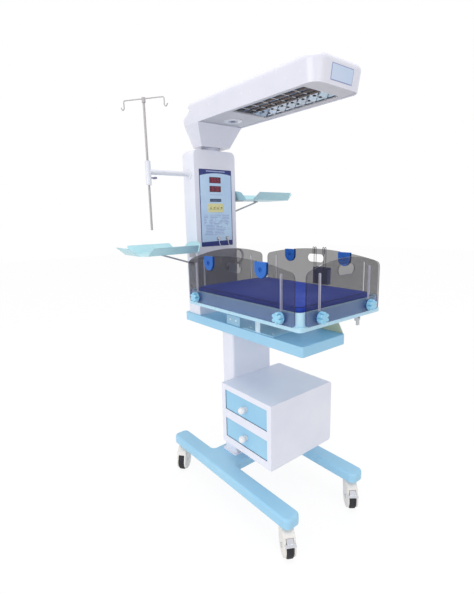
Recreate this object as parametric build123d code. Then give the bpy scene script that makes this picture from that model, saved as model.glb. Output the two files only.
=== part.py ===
from build123d import *
from math import cos, hypot, radians, sin, tan
import os

# An infant radiant warmer on a wheeled base, in millimetres
# X runs to the right, Y towards the column at the head end, Z up from the floor

# Clearances and cuts that every piece shares
sliding_gap = 0.3
pin_gap = 0.05
cut_overrun = 5
match_distance = 0.01

# Base beams and cross beam
beam_spacing = 418
beam_width = 80
beam_height = 42
beam_length = 848
beam_end_round = 26
beam_edge_round = 12
beam_wall = 3
cross_front = -5
cross_depth = 175
cross_front_round = 25
cross_back_round = 20
stem_block_length = 105
caster_inset = 48

# Casters with brake pedals
wheel_diameter = 100
wheel_width = 28
tyre_round = 6
core_radius = 34
core_width = 24
core_hub_radius = 12
core_hub_width = 30
axle_radius = 5
axle_cap_radius = 9
axle_cap_height = 2.5
caster_height = 132
caster_trail = 30
hood_width = 48
hood_slot_width = 31
hood_slot_radius = 53
cheek_radius = 45
crown_radius = 26
crown_height = 24
race_height = 3.7
stem_radius = 6
stem_length = 34
pedal_pin_out = 22
pedal_pin_rise = 53
pedal_pin_radius = 2
pedal_ear_radius = 8
pedal_hub_radius = 3.5
pedal_bay_radius = 5
pedal_bay_length = 30
pedal_rest_angle = -41
pedal_travel_angle = 6
pedal_thickness = 3
pedal_width = 28
pedal_reach = 27
pedal_lip_width = 44
pedal_lip_length = 12
pedal_lip_height = 4
pedal_hub_gap = 0.5

# Each caster: side of X, side of Y, heading in degrees
caster_place_shares = {
    "front_left": (-1, -1, -120),
    "front_right": (1, -1, -130),
    "rear_left": (-1, 1, -142),
    "rear_right": (1, 1, 120),
}
braked_casters = ("front_left", "front_right")

# Pedestal between base and shelf
pedestal_width = 240
pedestal_front = 52
pedestal_depth = 82
pedestal_rise = 614
pedestal_wall = 2
pedestal_round = 12
foot_flange_height = 5
foot_flange_margin = 9

# Drawer cabinet
cabinet_width = 378
cabinet_depth = 328
cabinet_height = 288
cabinet_rise = 109
cabinet_wall = 3
cabinet_round = 14
opening_margin = 25.5
opening_height = 94
opening_pitch = 135
lower_opening_rise = 33
drawer_gap = 1.5
drawer_recess = 4
drawer_front_thickness = 14
drawer_box_length = 322
drawer_box_height = 72
drawer_box_inset = 8
drawer_wall = 2
runner_height = 12
runner_ledge = 10
drawer_knob_radius = 16
drawer_knob_neck_radius = 7
drawer_knob_base_radius = 12
drawer_knob_base_height = 5
drawer_knob_reach = 22

# Shelf platform under the crib
shelf_width = 260
shelf_length = 822
shelf_tail = 31
shelf_thickness = 43
shelf_wall = 2.5
shelf_corner_round = 10
shelf_edge_round = 3

# Tilt stand on the shelf and tilt frame under the crib
tilt_base_thickness = 4
tilt_base_length = 190
cheek_thickness = 5
cheek_spacing = 236
cheek_length = 28
stop_length = 96
stop_height = 44
stop_gap = 118
pivot_drop = 32
pivot_radius = 7
pivot_head_radius = 11
pivot_head_height = 4
lug_thickness = 6
lug_length = 36
lug_round = 16
frame_plate_thickness = 4
frame_plate_length = 200
guard_thickness = 3
guard_front = -380
guard_length = 150
guard_height = 47
guard_slope_share = 0.18
lever_place = 101
lever_inset = 12
lever_width = 14
lever_hub_radius = 6
lever_pin_radius = 3
lever_drop = 12
lever_length = 24
lever_thickness = 7
lever_ear_thickness = 4

# Crib tray and mattress
crib_middle = -127
crib_width = 480
crib_length = 692
crib_rise = 94
crib_flange_height = 16
crib_corner_round = 34
crib_flange_round = 14
crib_wall_inset = 6
crib_wall_height = 50
crib_wall_thickness = 5
crib_skin = 4
crib_pocket_margin = 9
mattress_height = 57
mattress_gap = 3
mattress_corner_round = 30
mattress_crown = 4
mattress_side_bulge = 9
mattress_crown_inset = 60

# Mattress outlines: share of the height, share of the side's draw-in
mattress_shares = ((0.0, 1.0), (0.14, 0.3), (0.48, 0.0), (0.8, 0.28), (1.0, 1.1))

# Clear side, head and foot panels
panel_gap = 1
panel_thickness = 5
panel_end_height = 184
panel_middle_height = 221
panel_top_round = 26
panel_low_round = 14
side_panel_end_margin = 20
front_panel_end_margin = 25
rear_panel_end_margin = 15
side_slot_inset = 84
end_slot_inset = 94
slot_width = 7.2
slot_top_margin = 5
hand_slot_length = 98
hand_slot_height = 37
hand_slot_drop = 25
port_inset = 164
port_radius = 31
port_height = 59
port_lip = 5
port_lip_thickness = 4
port_bore_radius = 9

# Star knobs that clamp the panels
knob_rise = 26
knob_disc_radius = 22
knob_disc_height = 5
knob_body_radius = 13
knob_lobe_radius = 6.5
knob_lobe_count = 6
knob_body_height = 20
knob_edge_round = 3
knob_stud_radius = 3
knob_boss_radius = 8

# Column housing and its back cover
column_width = 244
column_front = 309
column_depth = 96
column_height = 799
column_wall = 3
column_top_round = 28
back_cover_thickness = 3
back_cover_margin = 1
inlet_width = 48
inlet_height = 28
inlet_depth = 22
inlet_rise = 70
inlet_recess_width = 26
inlet_recess_height = 17
inlet_recess_depth = 14
post_radius = 30
post_length = 66
bearing_radius = 46
bearing_height = 13

# Control overlay, displays, keypad and probe sockets
overlay_width = 193
overlay_height = 370
overlay_rise = 341
overlay_thickness = 1.2
overlay_round = 4
display_width = 68
display_height = 28
display_shift = -4
upper_display_rise = 306
lower_display_rise = 264
bar_display_height = 14
bar_display_rise = 217
display_gap = 0.4
board_thickness = 2
board_margin = 14
standoff_radius = 3.5
standoff_length = 12
keypad_width = 93
keypad_height = 42
keypad_rise = 166
keypad_thickness = 0.8
socket_rise = 37
socket_radius = 9
socket_height = 3
left_socket_place = 5
right_socket_place = 61
plug_radius = 6.5
plug_length = 10
relief_top_radius = 4
relief_low_radius = 2.6
relief_length = 14

# Probe cables with their coils and sensors
cable_radius = 1.5
cable_end_run = 3
cable_first_run = 7
cable_corner_share = 0.45
coil_sample_count = 240
coil_nudge_share = 0.0005
left_approach = 18
left_coil_place = 35
left_coil_drop = 115
left_coil_radius = 28
left_coil_growth = 0.5
left_coil_start_angle = 125
left_coil_turns = 1.4444
left_coil_pitch = 4.2
right_approach = 12
right_coil_place = 114
right_coil_drop = 96
right_coil_radius = 34
right_coil_growth = 2.2
right_coil_start_angle = 175
right_coil_turns = 3.2639
right_coil_pitch = 3.7
sensor_radius = 2.4
sensor_length = 22
sensor_tip_radius = 1.6
sensor_tip_length = 22

# Bends between a cable's first run and its coil: share across, share down
left_cable_shares = ((0.16, 0.2), (0.55, 0.41), (0.84, 0.66))
right_cable_shares = ((0.22, 0.21), (0.64, 0.455), (0.955, 0.753))

# Neck and radiant heater head
neck_low_width = 164
neck_front = 297
neck_back = 385
neck_height = 94
neck_front_flare = 42
neck_shoulder_height = 37
neck_crest_setback = 68
neck_crest_height = 67
neck_edge_round = 9
neck_back_round = 22
upright_share = 0.7
neck_wall = 8
head_width = 282
head_front = -444
head_back_low = 253
head_back_top = 290
head_height = 92
head_corner_round = 42
head_top_round = 22
head_wall = 4
head_draft = 9
under_panel_thickness = 3
under_panel_recess = 3
window_width = 198
window_front = -351
window_length = 395
window_round = 8
reflector_height = 44
reflector_wall = 1.2
reflector_draw_in = 26
reflector_flange = 9
rod_radius = 5
rod_count = 4
rod_spacing = 34
rod_rise = 22
rod_shift = 8
grille_bar_radius = 1.5
grille_bar_spacing = 56
grille_frame_width = 10
grille_frame_height = 3
lamp_place_x = 9
lamp_place_y = 170
lamp_bezel_radius = 42
lamp_bezel_height = 3
lamp_body_radius = 30
lamp_body_height = 34
lamp_lens_radius = 24

# Drip pole on its arm
iv_arm_place = 354
iv_arm_rise = 688
iv_arm_radius = 12
iv_arm_wall = 2
iv_pole_place = -336
iv_flange_radius = 24
iv_flange_height = 4
sleeve_radius = 12.5
sleeve_low = 58
sleeve_high = 46
iv_pole_radius = 5
iv_pole_length = 555
iv_pole_low = 258
hook_bar_radius = 2.5
hook_bar_half_length = 97
hook_bar_angle = -55
hook_drop = 40
hook_throat = 15
hook_lift = 13
hook_bend = 7
hook_boss_radius = 8
hook_boss_height = 21
hook_boss_cap = 10
clamp_drop = 26
clamp_screw_radius = 3
clamp_screw_reach = 14
clamp_grip_thickness = 10
clamp_grip_length = 24
clamp_grip_height = 9

# Side trays with their brackets and stays
tray_inner_gap = 28
tray_width = 300
tray_front = 230
tray_depth = 200
tray_sheet = 1.6
tray_rise = 36
tray_end_reach = 48
tray_side_reach = 36
tray_corner_cut = 24
petal_cut = 14
arch_height = 12
left_tray_height = 324
right_tray_height = 568
ledge_thickness = 4
ledge_reach = 70
ledge_depth = 50
ledge_leg = 34
stay_radius = 4
stay_drop = 62
stay_reach = 178
stay_foot = 16

# Heights that stack up from the floor
wheel_radius = wheel_diameter / 2
beam_bottom = caster_height
beam_top = beam_bottom + beam_height
shelf_bottom = beam_top + pedestal_rise
shelf_top = shelf_bottom + shelf_thickness
crib_bottom = shelf_top + crib_rise
crib_floor = crib_bottom + crib_flange_height
pivot_height = crib_bottom - pivot_drop
knob_height = crib_floor + knob_rise
column_top = shelf_top + column_height
overlay_low = shelf_top + overlay_rise
socket_height_z = overlay_low + socket_rise
neck_bottom = column_top + bearing_height
head_bottom = neck_bottom + neck_height
head_top = head_bottom + head_height
iv_arm_height = shelf_top + iv_arm_rise
left_tray_z = shelf_top + left_tray_height
right_tray_z = shelf_top + right_tray_height

# Places that follow from the named sizes
beam_x = beam_spacing / 2
cross_middle = cross_front + cross_depth / 2
pedestal_back = pedestal_front + pedestal_depth
pedestal_middle = pedestal_front + pedestal_depth / 2
cabinet_front = pedestal_front - cabinet_depth
cabinet_bottom = beam_top + cabinet_rise
cabinet_x = cabinet_width / 2
column_back = column_front + column_depth
shelf_back = column_back + shelf_tail
shelf_front = shelf_back - shelf_length
column_middle = column_front + column_depth / 2
swivel_y = (neck_front + neck_back) / 2
crib_x = crib_width / 2
crib_y = crib_length / 2
panel_inner_x = crib_x + panel_gap
panel_outer_x = panel_inner_x + panel_thickness
panel_inner_y = crib_y + panel_gap
panel_outer_y = panel_inner_y + panel_thickness
side_panel_length = crib_length - 2 * side_panel_end_margin
front_panel_length = crib_width - 2 * front_panel_end_margin
rear_panel_length = crib_width - 2 * rear_panel_end_margin
side_slot_offset = crib_y - side_slot_inset
end_slot_offset = crib_x - end_slot_inset
port_offset = side_panel_length / 2 - port_inset
tray_inner_x = column_width / 2 + tray_inner_gap
tray_outer_x = tray_inner_x + tray_width
tray_back = tray_front + tray_depth
knob_total_height = knob_disc_height + knob_body_height + sliding_gap

# The model's origin is the middle of its whole box, on the floor
box_front = crib_middle - panel_outer_y - knob_total_height
box_back = tray_back + tray_side_reach
box_middle = (box_front + box_back) / 2


def save(node, *pieces):
    placed = [Pos(0, -box_middle, 0) * solid for piece in pieces for solid in piece.solids()]
    export_step(Compound(placed), f"parts/{node}.step")


def block(x_span, y_span, z_span):
    spans = (x_span, y_span, z_span)
    size = [high - low for low, high in spans]
    middle = [(low + high) / 2 for low, high in spans]
    return Pos(*middle) * Box(*size)


def both_sides(half):
    return (-half, half)


def rod(start, end, radius):
    run = Vector(*end) - Vector(*start)
    foot = Plane(origin=Vector(*start), z_dir=run)
    return foot * Cylinder(radius, run.length, align=(Align.CENTER, Align.CENTER, Align.MIN))


def slab(sketch, low, high):
    return Pos(0, 0, low) * extrude(sketch, high - low)


def mirrored(piece):
    return mirror(piece, Plane.YZ)


os.makedirs("parts", exist_ok=True)


# Base: two beams and a cross beam welded into one H, open below between the stem blocks
def h_outline(inset, length, end_round):
    width = beam_width - 2 * inset
    outline = Pos(0, cross_middle) * Rectangle(beam_spacing, cross_depth - 2 * inset)
    for side in (-1, 1):
        outline += Pos(side * beam_x, 0) * Rectangle(width, length)
    tips = [v for v in outline.vertices() if abs(abs(v.Y) - length / 2) < match_distance]
    outline = fillet(tips, end_round)
    for level, radius in (
        (cross_front + inset, cross_front_round + inset),
        (cross_front + cross_depth - inset, cross_back_round + inset),
    ):
        corners = [v for v in outline.vertices() if abs(v.Y - level) < match_distance]
        outline = fillet(corners, radius)
    return outline


base = slab(h_outline(0, beam_length, beam_end_round), beam_bottom, beam_top)
base = fillet(base.faces().sort_by(Axis.Z)[-1].edges(), beam_edge_round)
channel_round = beam_edge_round - beam_wall
channel_length = beam_length - 2 * stem_block_length
channel = slab(
    h_outline(beam_wall, channel_length, channel_round), beam_bottom - cut_overrun, beam_top - beam_wall
)
channel = fillet(channel.faces().sort_by(Axis.Z)[-1].edges(), channel_round - pin_gap)
base -= channel
caster_y = beam_length / 2 - caster_inset
for x_side, y_side, heading in caster_place_shares.values():
    stem_bore = Cylinder(stem_radius + pin_gap, 2 * (stem_length + sliding_gap))
    base -= Pos(x_side * beam_x, y_side * caster_y, beam_bottom) * stem_bore
save("base_frame", base)


# Casters: hood with two cheeks, stem with its race disc, tyre, core and brake pedal
pedal_pin = Vector(caster_trail + pedal_pin_out, 0, wheel_radius + pedal_pin_rise)
hood_top = caster_height - race_height - sliding_gap


def pedal_ray(angle, along, above):
    turned = Vector(along, 0, above).rotate(Axis.Y, -angle)
    return (pedal_pin.X + turned.X, pedal_pin.Z + turned.Z)


def caster_hood(braked):
    crown_middle = hood_top - crown_height / 2
    profile = Pos(caster_trail, wheel_radius) * Circle(cheek_radius)
    profile += Pos(0, crown_middle) * Rectangle(2 * crown_radius, crown_height)
    profile += Pos(pedal_pin.X, pedal_pin.Z) * Circle(pedal_ear_radius)
    hood = extrude(Plane.XZ * make_hull(profile.edges()), hood_width / 2, both=True)
    rims = hood.faces().sort_by(Axis.Y)
    hood = fillet(rims[0].edges() + rims[-1].edges(), pedal_thickness)
    axle_place = Pos(caster_trail, 0, wheel_radius) * Rot(90, 0, 0)
    hood -= axle_place * Cylinder(hood_slot_radius, hood_slot_width)
    hood += axle_place * Cylinder(axle_radius, hood_width)
    hood += axle_place * Cylinder(axle_cap_radius, hood_width + 2 * axle_cap_height)
    hood -= axle_place * (
        Cylinder(axle_cap_radius + cut_overrun, hood_slot_width) - Cylinder(axle_radius, hood_slot_width)
    )
    if braked:
        pressed = pedal_rest_angle - pedal_travel_angle
        bay = Pos(pedal_pin.X, pedal_pin.Z) * Circle(pedal_bay_radius)
        bay += make_face(Polyline(
            pedal_ray(pedal_rest_angle, 0, pedal_bay_radius),
            pedal_ray(pedal_rest_angle, pedal_bay_length, pedal_bay_radius),
            pedal_ray(pressed, pedal_bay_length, -pedal_bay_radius),
            pedal_ray(pressed, 0, -pedal_bay_radius),
            close=True,
        ))
        hood -= extrude(Plane.XZ * bay, hood_slot_width / 2, both=True)
        hood += Pos(pedal_pin) * Rot(90, 0, 0) * Cylinder(pedal_pin_radius, hood_width)
    return hood


def caster_stem():
    race = Pos(0, 0, hood_top + race_height / 2) * Cylinder(crown_radius, race_height)
    return race + rod((0, 0, hood_top), (0, 0, beam_bottom + stem_length), stem_radius)


def caster_wheel():
    axle_place = Pos(caster_trail, 0, wheel_radius) * Rot(90, 0, 0)
    tyre = Cylinder(wheel_radius, wheel_width)
    tyre = fillet(tyre.edges().filter_by(GeomType.CIRCLE), tyre_round) - Cylinder(core_radius, wheel_width)
    core = Cylinder(core_radius, core_width) + Cylinder(core_hub_radius, core_hub_width)
    core -= Cylinder(axle_radius + pin_gap, core_hub_width)
    return axle_place * tyre, axle_place * core


def brake_pedal():
    plate = block((0, pedal_reach), both_sides(pedal_width / 2), both_sides(pedal_thickness / 2))
    lip_span = (pedal_reach, pedal_reach + pedal_lip_length)
    lip_low = -pedal_thickness / 2
    lip = block(lip_span, both_sides(pedal_lip_width / 2), (lip_low, lip_low + pedal_lip_height))
    hub_width = hood_slot_width - 2 * pedal_hub_gap
    hub = Rot(90, 0, 0) * Cylinder(pedal_hub_radius, hub_width)
    bore = Rot(90, 0, 0) * Cylinder(pedal_pin_radius + pin_gap, hub_width)
    return Pos(pedal_pin) * Rot(0, -pedal_rest_angle, 0) * (plate + lip + hub - bore)


for name, (x_side, y_side, heading) in caster_place_shares.items():
    seat = Pos(x_side * beam_x, y_side * caster_y, 0) * Rot(0, 0, heading)
    braked = name in braked_casters
    save(f"caster_hood_{name}", seat * caster_hood(braked), seat * caster_stem())
    save(f"caster_wheel_{name}", *[seat * piece for piece in caster_wheel()])
    if braked:
        save(f"brake_pedal_{name}", seat * brake_pedal())


# Pedestal: a folded sheet tube on a foot flange, up to the underside of the shelf's top sheet
def rounded_tube(width, depth, corner, wall, low, high):
    outer = RectangleRounded(width, depth, corner)
    inner = RectangleRounded(width - 2 * wall, depth - 2 * wall, corner - wall)
    return slab(outer - inner, low, high)


flange_top = beam_top + foot_flange_height
foot_flange = RectangleRounded(
    pedestal_width + 2 * foot_flange_margin, pedestal_depth + 2 * foot_flange_margin, pedestal_round
)
pedestal_tube = rounded_tube(
    pedestal_width, pedestal_depth, pedestal_round, pedestal_wall, flange_top, shelf_top - shelf_wall
)
pedestal_place = Pos(0, pedestal_middle, 0)
foot_flange = pedestal_place * slab(foot_flange, beam_top, flange_top)
save("pedestal_column", foot_flange, pedestal_place * pedestal_tube)


# Drawer cabinet: a box of bent sheet with two openings in its left face and four runners
cabinet_top = cabinet_bottom + cabinet_height
cabinet = block(both_sides(cabinet_x), (cabinet_front, pedestal_front), (cabinet_bottom, cabinet_top))
right_edges = cabinet.faces().sort_by(Axis.X)[-1].edges()
cabinet = fillet(right_edges.filter_by(Axis.Y), cabinet_round)
inner_x = cabinet_x - cabinet_wall
inner_front = cabinet_front + cabinet_wall
inner_back = pedestal_front - cabinet_wall
inner_z = (cabinet_bottom + cabinet_wall, cabinet_top - cabinet_wall)
cabinet -= block(both_sides(inner_x), (inner_front, inner_back), inner_z)
opening_front = cabinet_front + opening_margin
opening_back = pedestal_front - opening_margin
lower_opening = cabinet_bottom + lower_opening_rise
drawer_lows = {"lower": lower_opening, "upper": lower_opening + opening_pitch}
drawer_box_front = opening_front + drawer_box_inset
drawer_box_back = opening_back - drawer_box_inset
runners = []
for low in drawer_lows.values():
    opening_x = (-cabinet_x - cut_overrun, -inner_x)
    cabinet -= block(opening_x, (opening_front, opening_back), (low, low + opening_height))
    runner_top = low + drawer_gap + drawer_wall - sliding_gap
    runner_z = (runner_top - runner_height, runner_top)
    runner_x = (-inner_x + drawer_front_thickness + cut_overrun, inner_x)
    runners.append(block(runner_x, (inner_front, drawer_box_front + runner_ledge), runner_z))
    runners.append(block(runner_x, (drawer_box_back - runner_ledge, inner_back), runner_z))
save("drawer_cabinet", cabinet, *runners)

# Drawers: a front in the opening, an open box behind it and a round knob
front_face = -cabinet_x + drawer_recess
front_back_face = front_face + drawer_front_thickness
for name, low in drawer_lows.items():
    front = block(
        (front_face, front_back_face),
        (opening_front + drawer_gap, opening_back - drawer_gap),
        (low + drawer_gap, low + opening_height - drawer_gap),
    )
    box_x = (front_back_face, front_back_face + drawer_box_length)
    box_low = low + drawer_gap + drawer_wall
    box = block(box_x, (drawer_box_front, drawer_box_back), (box_low, box_low + drawer_box_height))
    box -= block(
        (box_x[0] + drawer_wall, box_x[1] - drawer_wall),
        (drawer_box_front + drawer_wall, drawer_box_back - drawer_wall),
        (box_low + drawer_wall, box_low + drawer_box_height + cut_overrun),
    )
    knob_point = (front_face, (opening_front + opening_back) / 2, low + opening_height / 2)
    ball_x = front_face - drawer_knob_reach
    base_x = front_face - drawer_knob_base_height
    knob = rod(knob_point, (base_x, *knob_point[1:]), drawer_knob_base_radius)
    knob += rod(knob_point, (ball_x, *knob_point[1:]), drawer_knob_neck_radius)
    knob += Pos(ball_x, *knob_point[1:]) * Rot(0, 90, 0) * Sphere(drawer_knob_radius)
    save(f"drawer_{name}", front, box, knob)


# Shelf platform: a long pan of sheet, open below
shelf_middle = (shelf_front + shelf_back) / 2
shelf_outline = RectangleRounded(shelf_width, shelf_length, shelf_corner_round)
shelf = Pos(0, shelf_middle, 0) * slab(shelf_outline, shelf_bottom, shelf_top)
shelf = fillet(shelf.faces().sort_by(Axis.Z)[-1].edges(), shelf_edge_round)
shelf_hollow = RectangleRounded(
    shelf_width - 2 * shelf_wall, shelf_length - 2 * shelf_wall, shelf_corner_round - shelf_wall
)
shelf -= Pos(0, shelf_middle, 0) * slab(shelf_hollow, shelf_bottom - cut_overrun, shelf_top - shelf_wall)
save("shelf_platform", shelf)


# Tilt stand: a base plate with two cheeks that carry the crib's pivots, two stops and a guard plate
def cheek_profile(length, foot, centre, corner):
    lower = Pos(crib_middle, (foot + centre) / 2) * Rectangle(length, centre - foot)
    return lower + Pos(crib_middle, centre) * Circle(corner)


cheek_x = cheek_spacing / 2
stand_outline = Pos(0, crib_middle) * Rectangle(cheek_spacing + 2 * cheek_thickness, tilt_base_length)
stand_plate_top = shelf_top + tilt_base_thickness
stand_plate = slab(stand_outline, shelf_top, stand_plate_top)
cheek_sketch = cheek_profile(cheek_length, stand_plate_top, pivot_height, cheek_length / 2)
cheek_sketch -= Pos(crib_middle, pivot_height) * Circle(pivot_radius + pin_gap)
cheek = Pos(cheek_x, 0, 0) * extrude(Plane.YZ * cheek_sketch, cheek_thickness)
stop_front = crib_middle + stop_gap
stop = block(
    (cheek_x, cheek_x + cheek_thickness), (stop_front, stop_front + stop_length), (shelf_top, shelf_top + stop_height)
)
guard_back = guard_front + guard_length
guard_sketch = make_face(Polyline(
    (guard_front, shelf_top),
    (guard_front + guard_slope_share * guard_length, shelf_top + guard_height),
    (guard_back - guard_slope_share * guard_length, shelf_top + guard_height),
    (guard_back, shelf_top),
    close=True,
))
guard_x = shelf_width / 2 - shelf_edge_round - guard_thickness
guard = Pos(guard_x, 0, 0) * extrude(Plane.YZ * guard_sketch, guard_thickness)
save("tilt_stand", stand_plate + cheek + mirrored(cheek), stop, mirrored(stop), guard)

# Tilt frame: a plate under the crib with two lugs, their pivot pins and the lever's ears
frame_outline = Pos(0, crib_middle) * Rectangle(cheek_spacing - 2 * sliding_gap, frame_plate_length)
frame_plate = slab(frame_outline, crib_bottom - frame_plate_thickness, crib_bottom)
lug_sketch = cheek_profile(lug_length, crib_bottom, pivot_height, lug_round)
lug_x = cheek_x - sliding_gap - lug_thickness
lug = Pos(lug_x, 0, 0) * extrude(Plane.YZ * lug_sketch, lug_thickness)
pin_reach = cheek_x + cheek_thickness + sliding_gap
pin_line = ((lug_x, crib_middle, pivot_height), (pin_reach, crib_middle, pivot_height))
head_end = (pin_reach + pivot_head_height, crib_middle, pivot_height)
lug += rod(*pin_line, pivot_radius) + rod(pin_line[1], head_end, pivot_head_radius)
tilt_frame = frame_plate + lug + mirrored(lug)
lever_y = crib_middle - crib_y + lever_inset
lever_z = crib_bottom - lever_drop
ear_inner = lever_width / 2 + sliding_gap
ear_outer = ear_inner + lever_ear_thickness
ear_sketch = Pos(lever_y, lever_z) * Circle(lever_hub_radius)
ear_sketch += Pos(lever_y, (lever_z + crib_bottom) / 2) * Rectangle(2 * lever_hub_radius, lever_drop)
ear_pair = extrude(Plane.YZ * ear_sketch, ear_outer, both=True)
ear_pair -= block(both_sides(ear_inner), both_sides(beam_length), (shelf_top, crib_bottom + cut_overrun))
ear_pair += rod((-ear_outer, lever_y, lever_z), (ear_outer, lever_y, lever_z), lever_pin_radius)
save("tilt_frame", tilt_frame, Pos(lever_place, 0, 0) * ear_pair)

# Tilt lever: a short paddle on its pin under the foot end
lever = extrude(Plane.YZ * (Pos(lever_y, lever_z) * Circle(lever_hub_radius)), lever_width / 2, both=True)
paddle_y = (lever_y - lever_hub_radius, lever_y - lever_hub_radius + lever_thickness)
lever += block(both_sides(lever_width / 2), paddle_y, (lever_z - lever_length, lever_z))
lever -= rod((-ear_outer, lever_y, lever_z), (ear_outer, lever_y, lever_z), lever_pin_radius + pin_gap)
save("tilt_lever", Pos(lever_place, 0, 0) * lever)


# Crib tray: a moulded floor with pockets below, a low wall and bosses for the knobs
def crib_outline(inset):
    corner = crib_corner_round - inset
    return RectangleRounded(crib_width - 2 * inset, crib_length - 2 * inset, corner)


wall_inner_inset = crib_wall_inset + crib_wall_thickness
wall_top = crib_floor + crib_wall_height
crib = slab(RectangleRounded(crib_width, crib_length, crib_flange_round), crib_bottom, crib_floor)
crib += slab(crib_outline(crib_wall_inset), crib_floor, wall_top)
crib -= slab(crib_outline(wall_inner_inset), crib_floor, wall_top + cut_overrun)
pocket_inner = frame_plate_length / 2 + crib_pocket_margin
pocket_outer = crib_y - crib_pocket_margin - lever_inset - lever_hub_radius
pocket_x = both_sides(crib_x - crib_pocket_margin)
for side in (-1, 1):
    pocket_y = sorted((side * pocket_inner, side * pocket_outer))
    crib -= block(pocket_x, pocket_y, (crib_bottom - cut_overrun, crib_floor - crib_skin))
crib = Pos(0, crib_middle, 0) * crib

# Each knob: node name, point on its panel's outer face, outward direction
boss_start_x = crib_x - crib_wall_inset - crib_wall_thickness
boss_start_y = crib_y - crib_wall_inset - crib_wall_thickness
boss_depth = panel_gap + crib_wall_inset - sliding_gap
knob_places = []
for x_name, x_side in (("left", -1), ("right", 1)):
    for y_name, y_side in (("foot", -1), ("head", 1)):
        side_point = (x_side * panel_outer_x, crib_middle + y_side * side_slot_offset, knob_height)
        end_point = (x_side * end_slot_offset, crib_middle + y_side * panel_outer_y, knob_height)
        knob_places.append((f"knob_{x_name}_{y_name}", side_point, (x_side, 0, 0)))
        knob_places.append((f"knob_{y_name}_{x_name}", end_point, (0, y_side, 0)))
boss_face = panel_thickness + sliding_gap
wall_face = panel_thickness + panel_gap + crib_wall_inset
stud_depth = wall_face + crib_wall_thickness
for node, point, outward in knob_places:
    face_plane = Plane(origin=point, z_dir=outward)
    crib += face_plane * slab(Circle(knob_boss_radius), -wall_face, -boss_face)
    crib -= face_plane * slab(Circle(knob_stud_radius + pin_gap), -stud_depth - cut_overrun, -boss_face)
save("crib_tray", crib)

# Mattress: crowned top and drawn in sides
mattress_low = crib_floor + sliding_gap
side_inset = wall_inner_inset + mattress_gap
layers = []
for height_share, draw_share in mattress_shares:
    inset = side_inset + draw_share * mattress_side_bulge
    outline = RectangleRounded(
        crib_width - 2 * inset, crib_length - 2 * inset, mattress_corner_round - draw_share * mattress_crown
    )
    layers.append(Pos(0, 0, mattress_low + height_share * (mattress_height - mattress_crown)) * outline)
crown_inset = side_inset + mattress_crown_inset
crown = RectangleRounded(crib_width - 2 * crown_inset, crib_length - 2 * crown_inset, mattress_corner_round)
layers.append(Pos(0, 0, mattress_low + mattress_height) * crown)
save("mattress", Pos(0, crib_middle, 0) * loft(layers, ruled=True))


# Panels: arched clear sheets with clamping slots, hand slots and tube ports
def panel_sketch(length, slot_offset, hand_slot, ports):
    half = length / 2
    edge = Polyline((-half, panel_end_height), (-half, 0), (half, 0), (half, panel_end_height))
    arch = ThreePointArc((half, panel_end_height), (0, panel_middle_height), (-half, panel_end_height))
    sheet = make_face(edge + arch)
    corners = sheet.vertices().sort_by(Axis.Y)
    sheet = fillet(corners[:2], panel_low_round)
    tops = [v for v in sheet.vertices() if abs(v.Y - panel_end_height) < match_distance]
    sheet = fillet(tops, panel_top_round)
    slot_low = knob_rise - slot_width / 2
    slot_high = panel_end_height - slot_top_margin
    for side in (-1, 1):
        middle = Pos(side * slot_offset, (slot_low + slot_high) / 2) * Rot(0, 0, 90)
        sheet -= middle * SlotOverall(slot_high - slot_low, slot_width)
        if ports:
            sheet -= Pos(side * port_offset, port_middle) * port_sketch(port_radius - port_lip, port_height)
    if hand_slot:
        hand_middle = panel_middle_height - hand_slot_drop - hand_slot_height / 2
        sheet -= Pos(0, hand_middle) * SlotOverall(hand_slot_length, hand_slot_height)
    return sheet


def port_sketch(radius, top):
    bowl = Circle(radius) - Pos(0, radius) * Rectangle(2 * radius, 2 * radius)
    return bowl + Pos(0, top / 2) * Rectangle(2 * radius, top)


def arch_rise(offset):
    rise = panel_middle_height - panel_end_height
    half = side_panel_length / 2
    arch_radius = (half * half + rise * rise) / (2 * rise)
    return panel_middle_height - arch_radius + (arch_radius ** 2 - offset ** 2) ** 0.5


port_top = arch_rise(port_offset)
port_middle = port_top - port_height + port_radius
side_plane = Plane(origin=(0, crib_middle, crib_floor), x_dir=(0, 1, 0), z_dir=(1, 0, 0))
end_plane = Plane(origin=(0, crib_middle, crib_floor), x_dir=(1, 0, 0), z_dir=(0, -1, 0))
side_sheet = panel_sketch(side_panel_length, side_slot_offset, True, True)
right_panel = side_plane * slab(side_sheet, panel_inner_x, panel_outer_x)
save("panel_right", right_panel)
save("panel_left", mirrored(right_panel))
foot_sheet = panel_sketch(front_panel_length, end_slot_offset, True, False)
save("panel_foot", end_plane * slab(foot_sheet, panel_inner_y, panel_outer_y))
head_sheet = panel_sketch(rear_panel_length, end_slot_offset, False, False)
save("panel_head", end_plane * slab(head_sheet, -panel_outer_y, -panel_inner_y))

# Tube ports: soft blue inserts that fill the cut outs, with a lip on each face
insert_bore = Circle(port_bore_radius)
insert_core = port_sketch(port_radius - port_lip, port_height - port_radius) - insert_bore
insert_flange = port_sketch(port_radius, port_height - port_radius) - insert_bore
ports = []
for side in (-1, 1):
    place = Pos(side * port_offset, port_middle)
    core = slab(place * insert_core, panel_inner_x, panel_outer_x)
    inner_lip = slab(place * insert_flange, panel_inner_x - port_lip_thickness, panel_inner_x)
    outer_lip = slab(place * insert_flange, panel_outer_x, panel_outer_x + port_lip_thickness)
    ports.append(side_plane * (core + inner_lip + outer_lip))
save("ports_right", *ports)
save("ports_left", *[mirrored(port) for port in ports])


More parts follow.
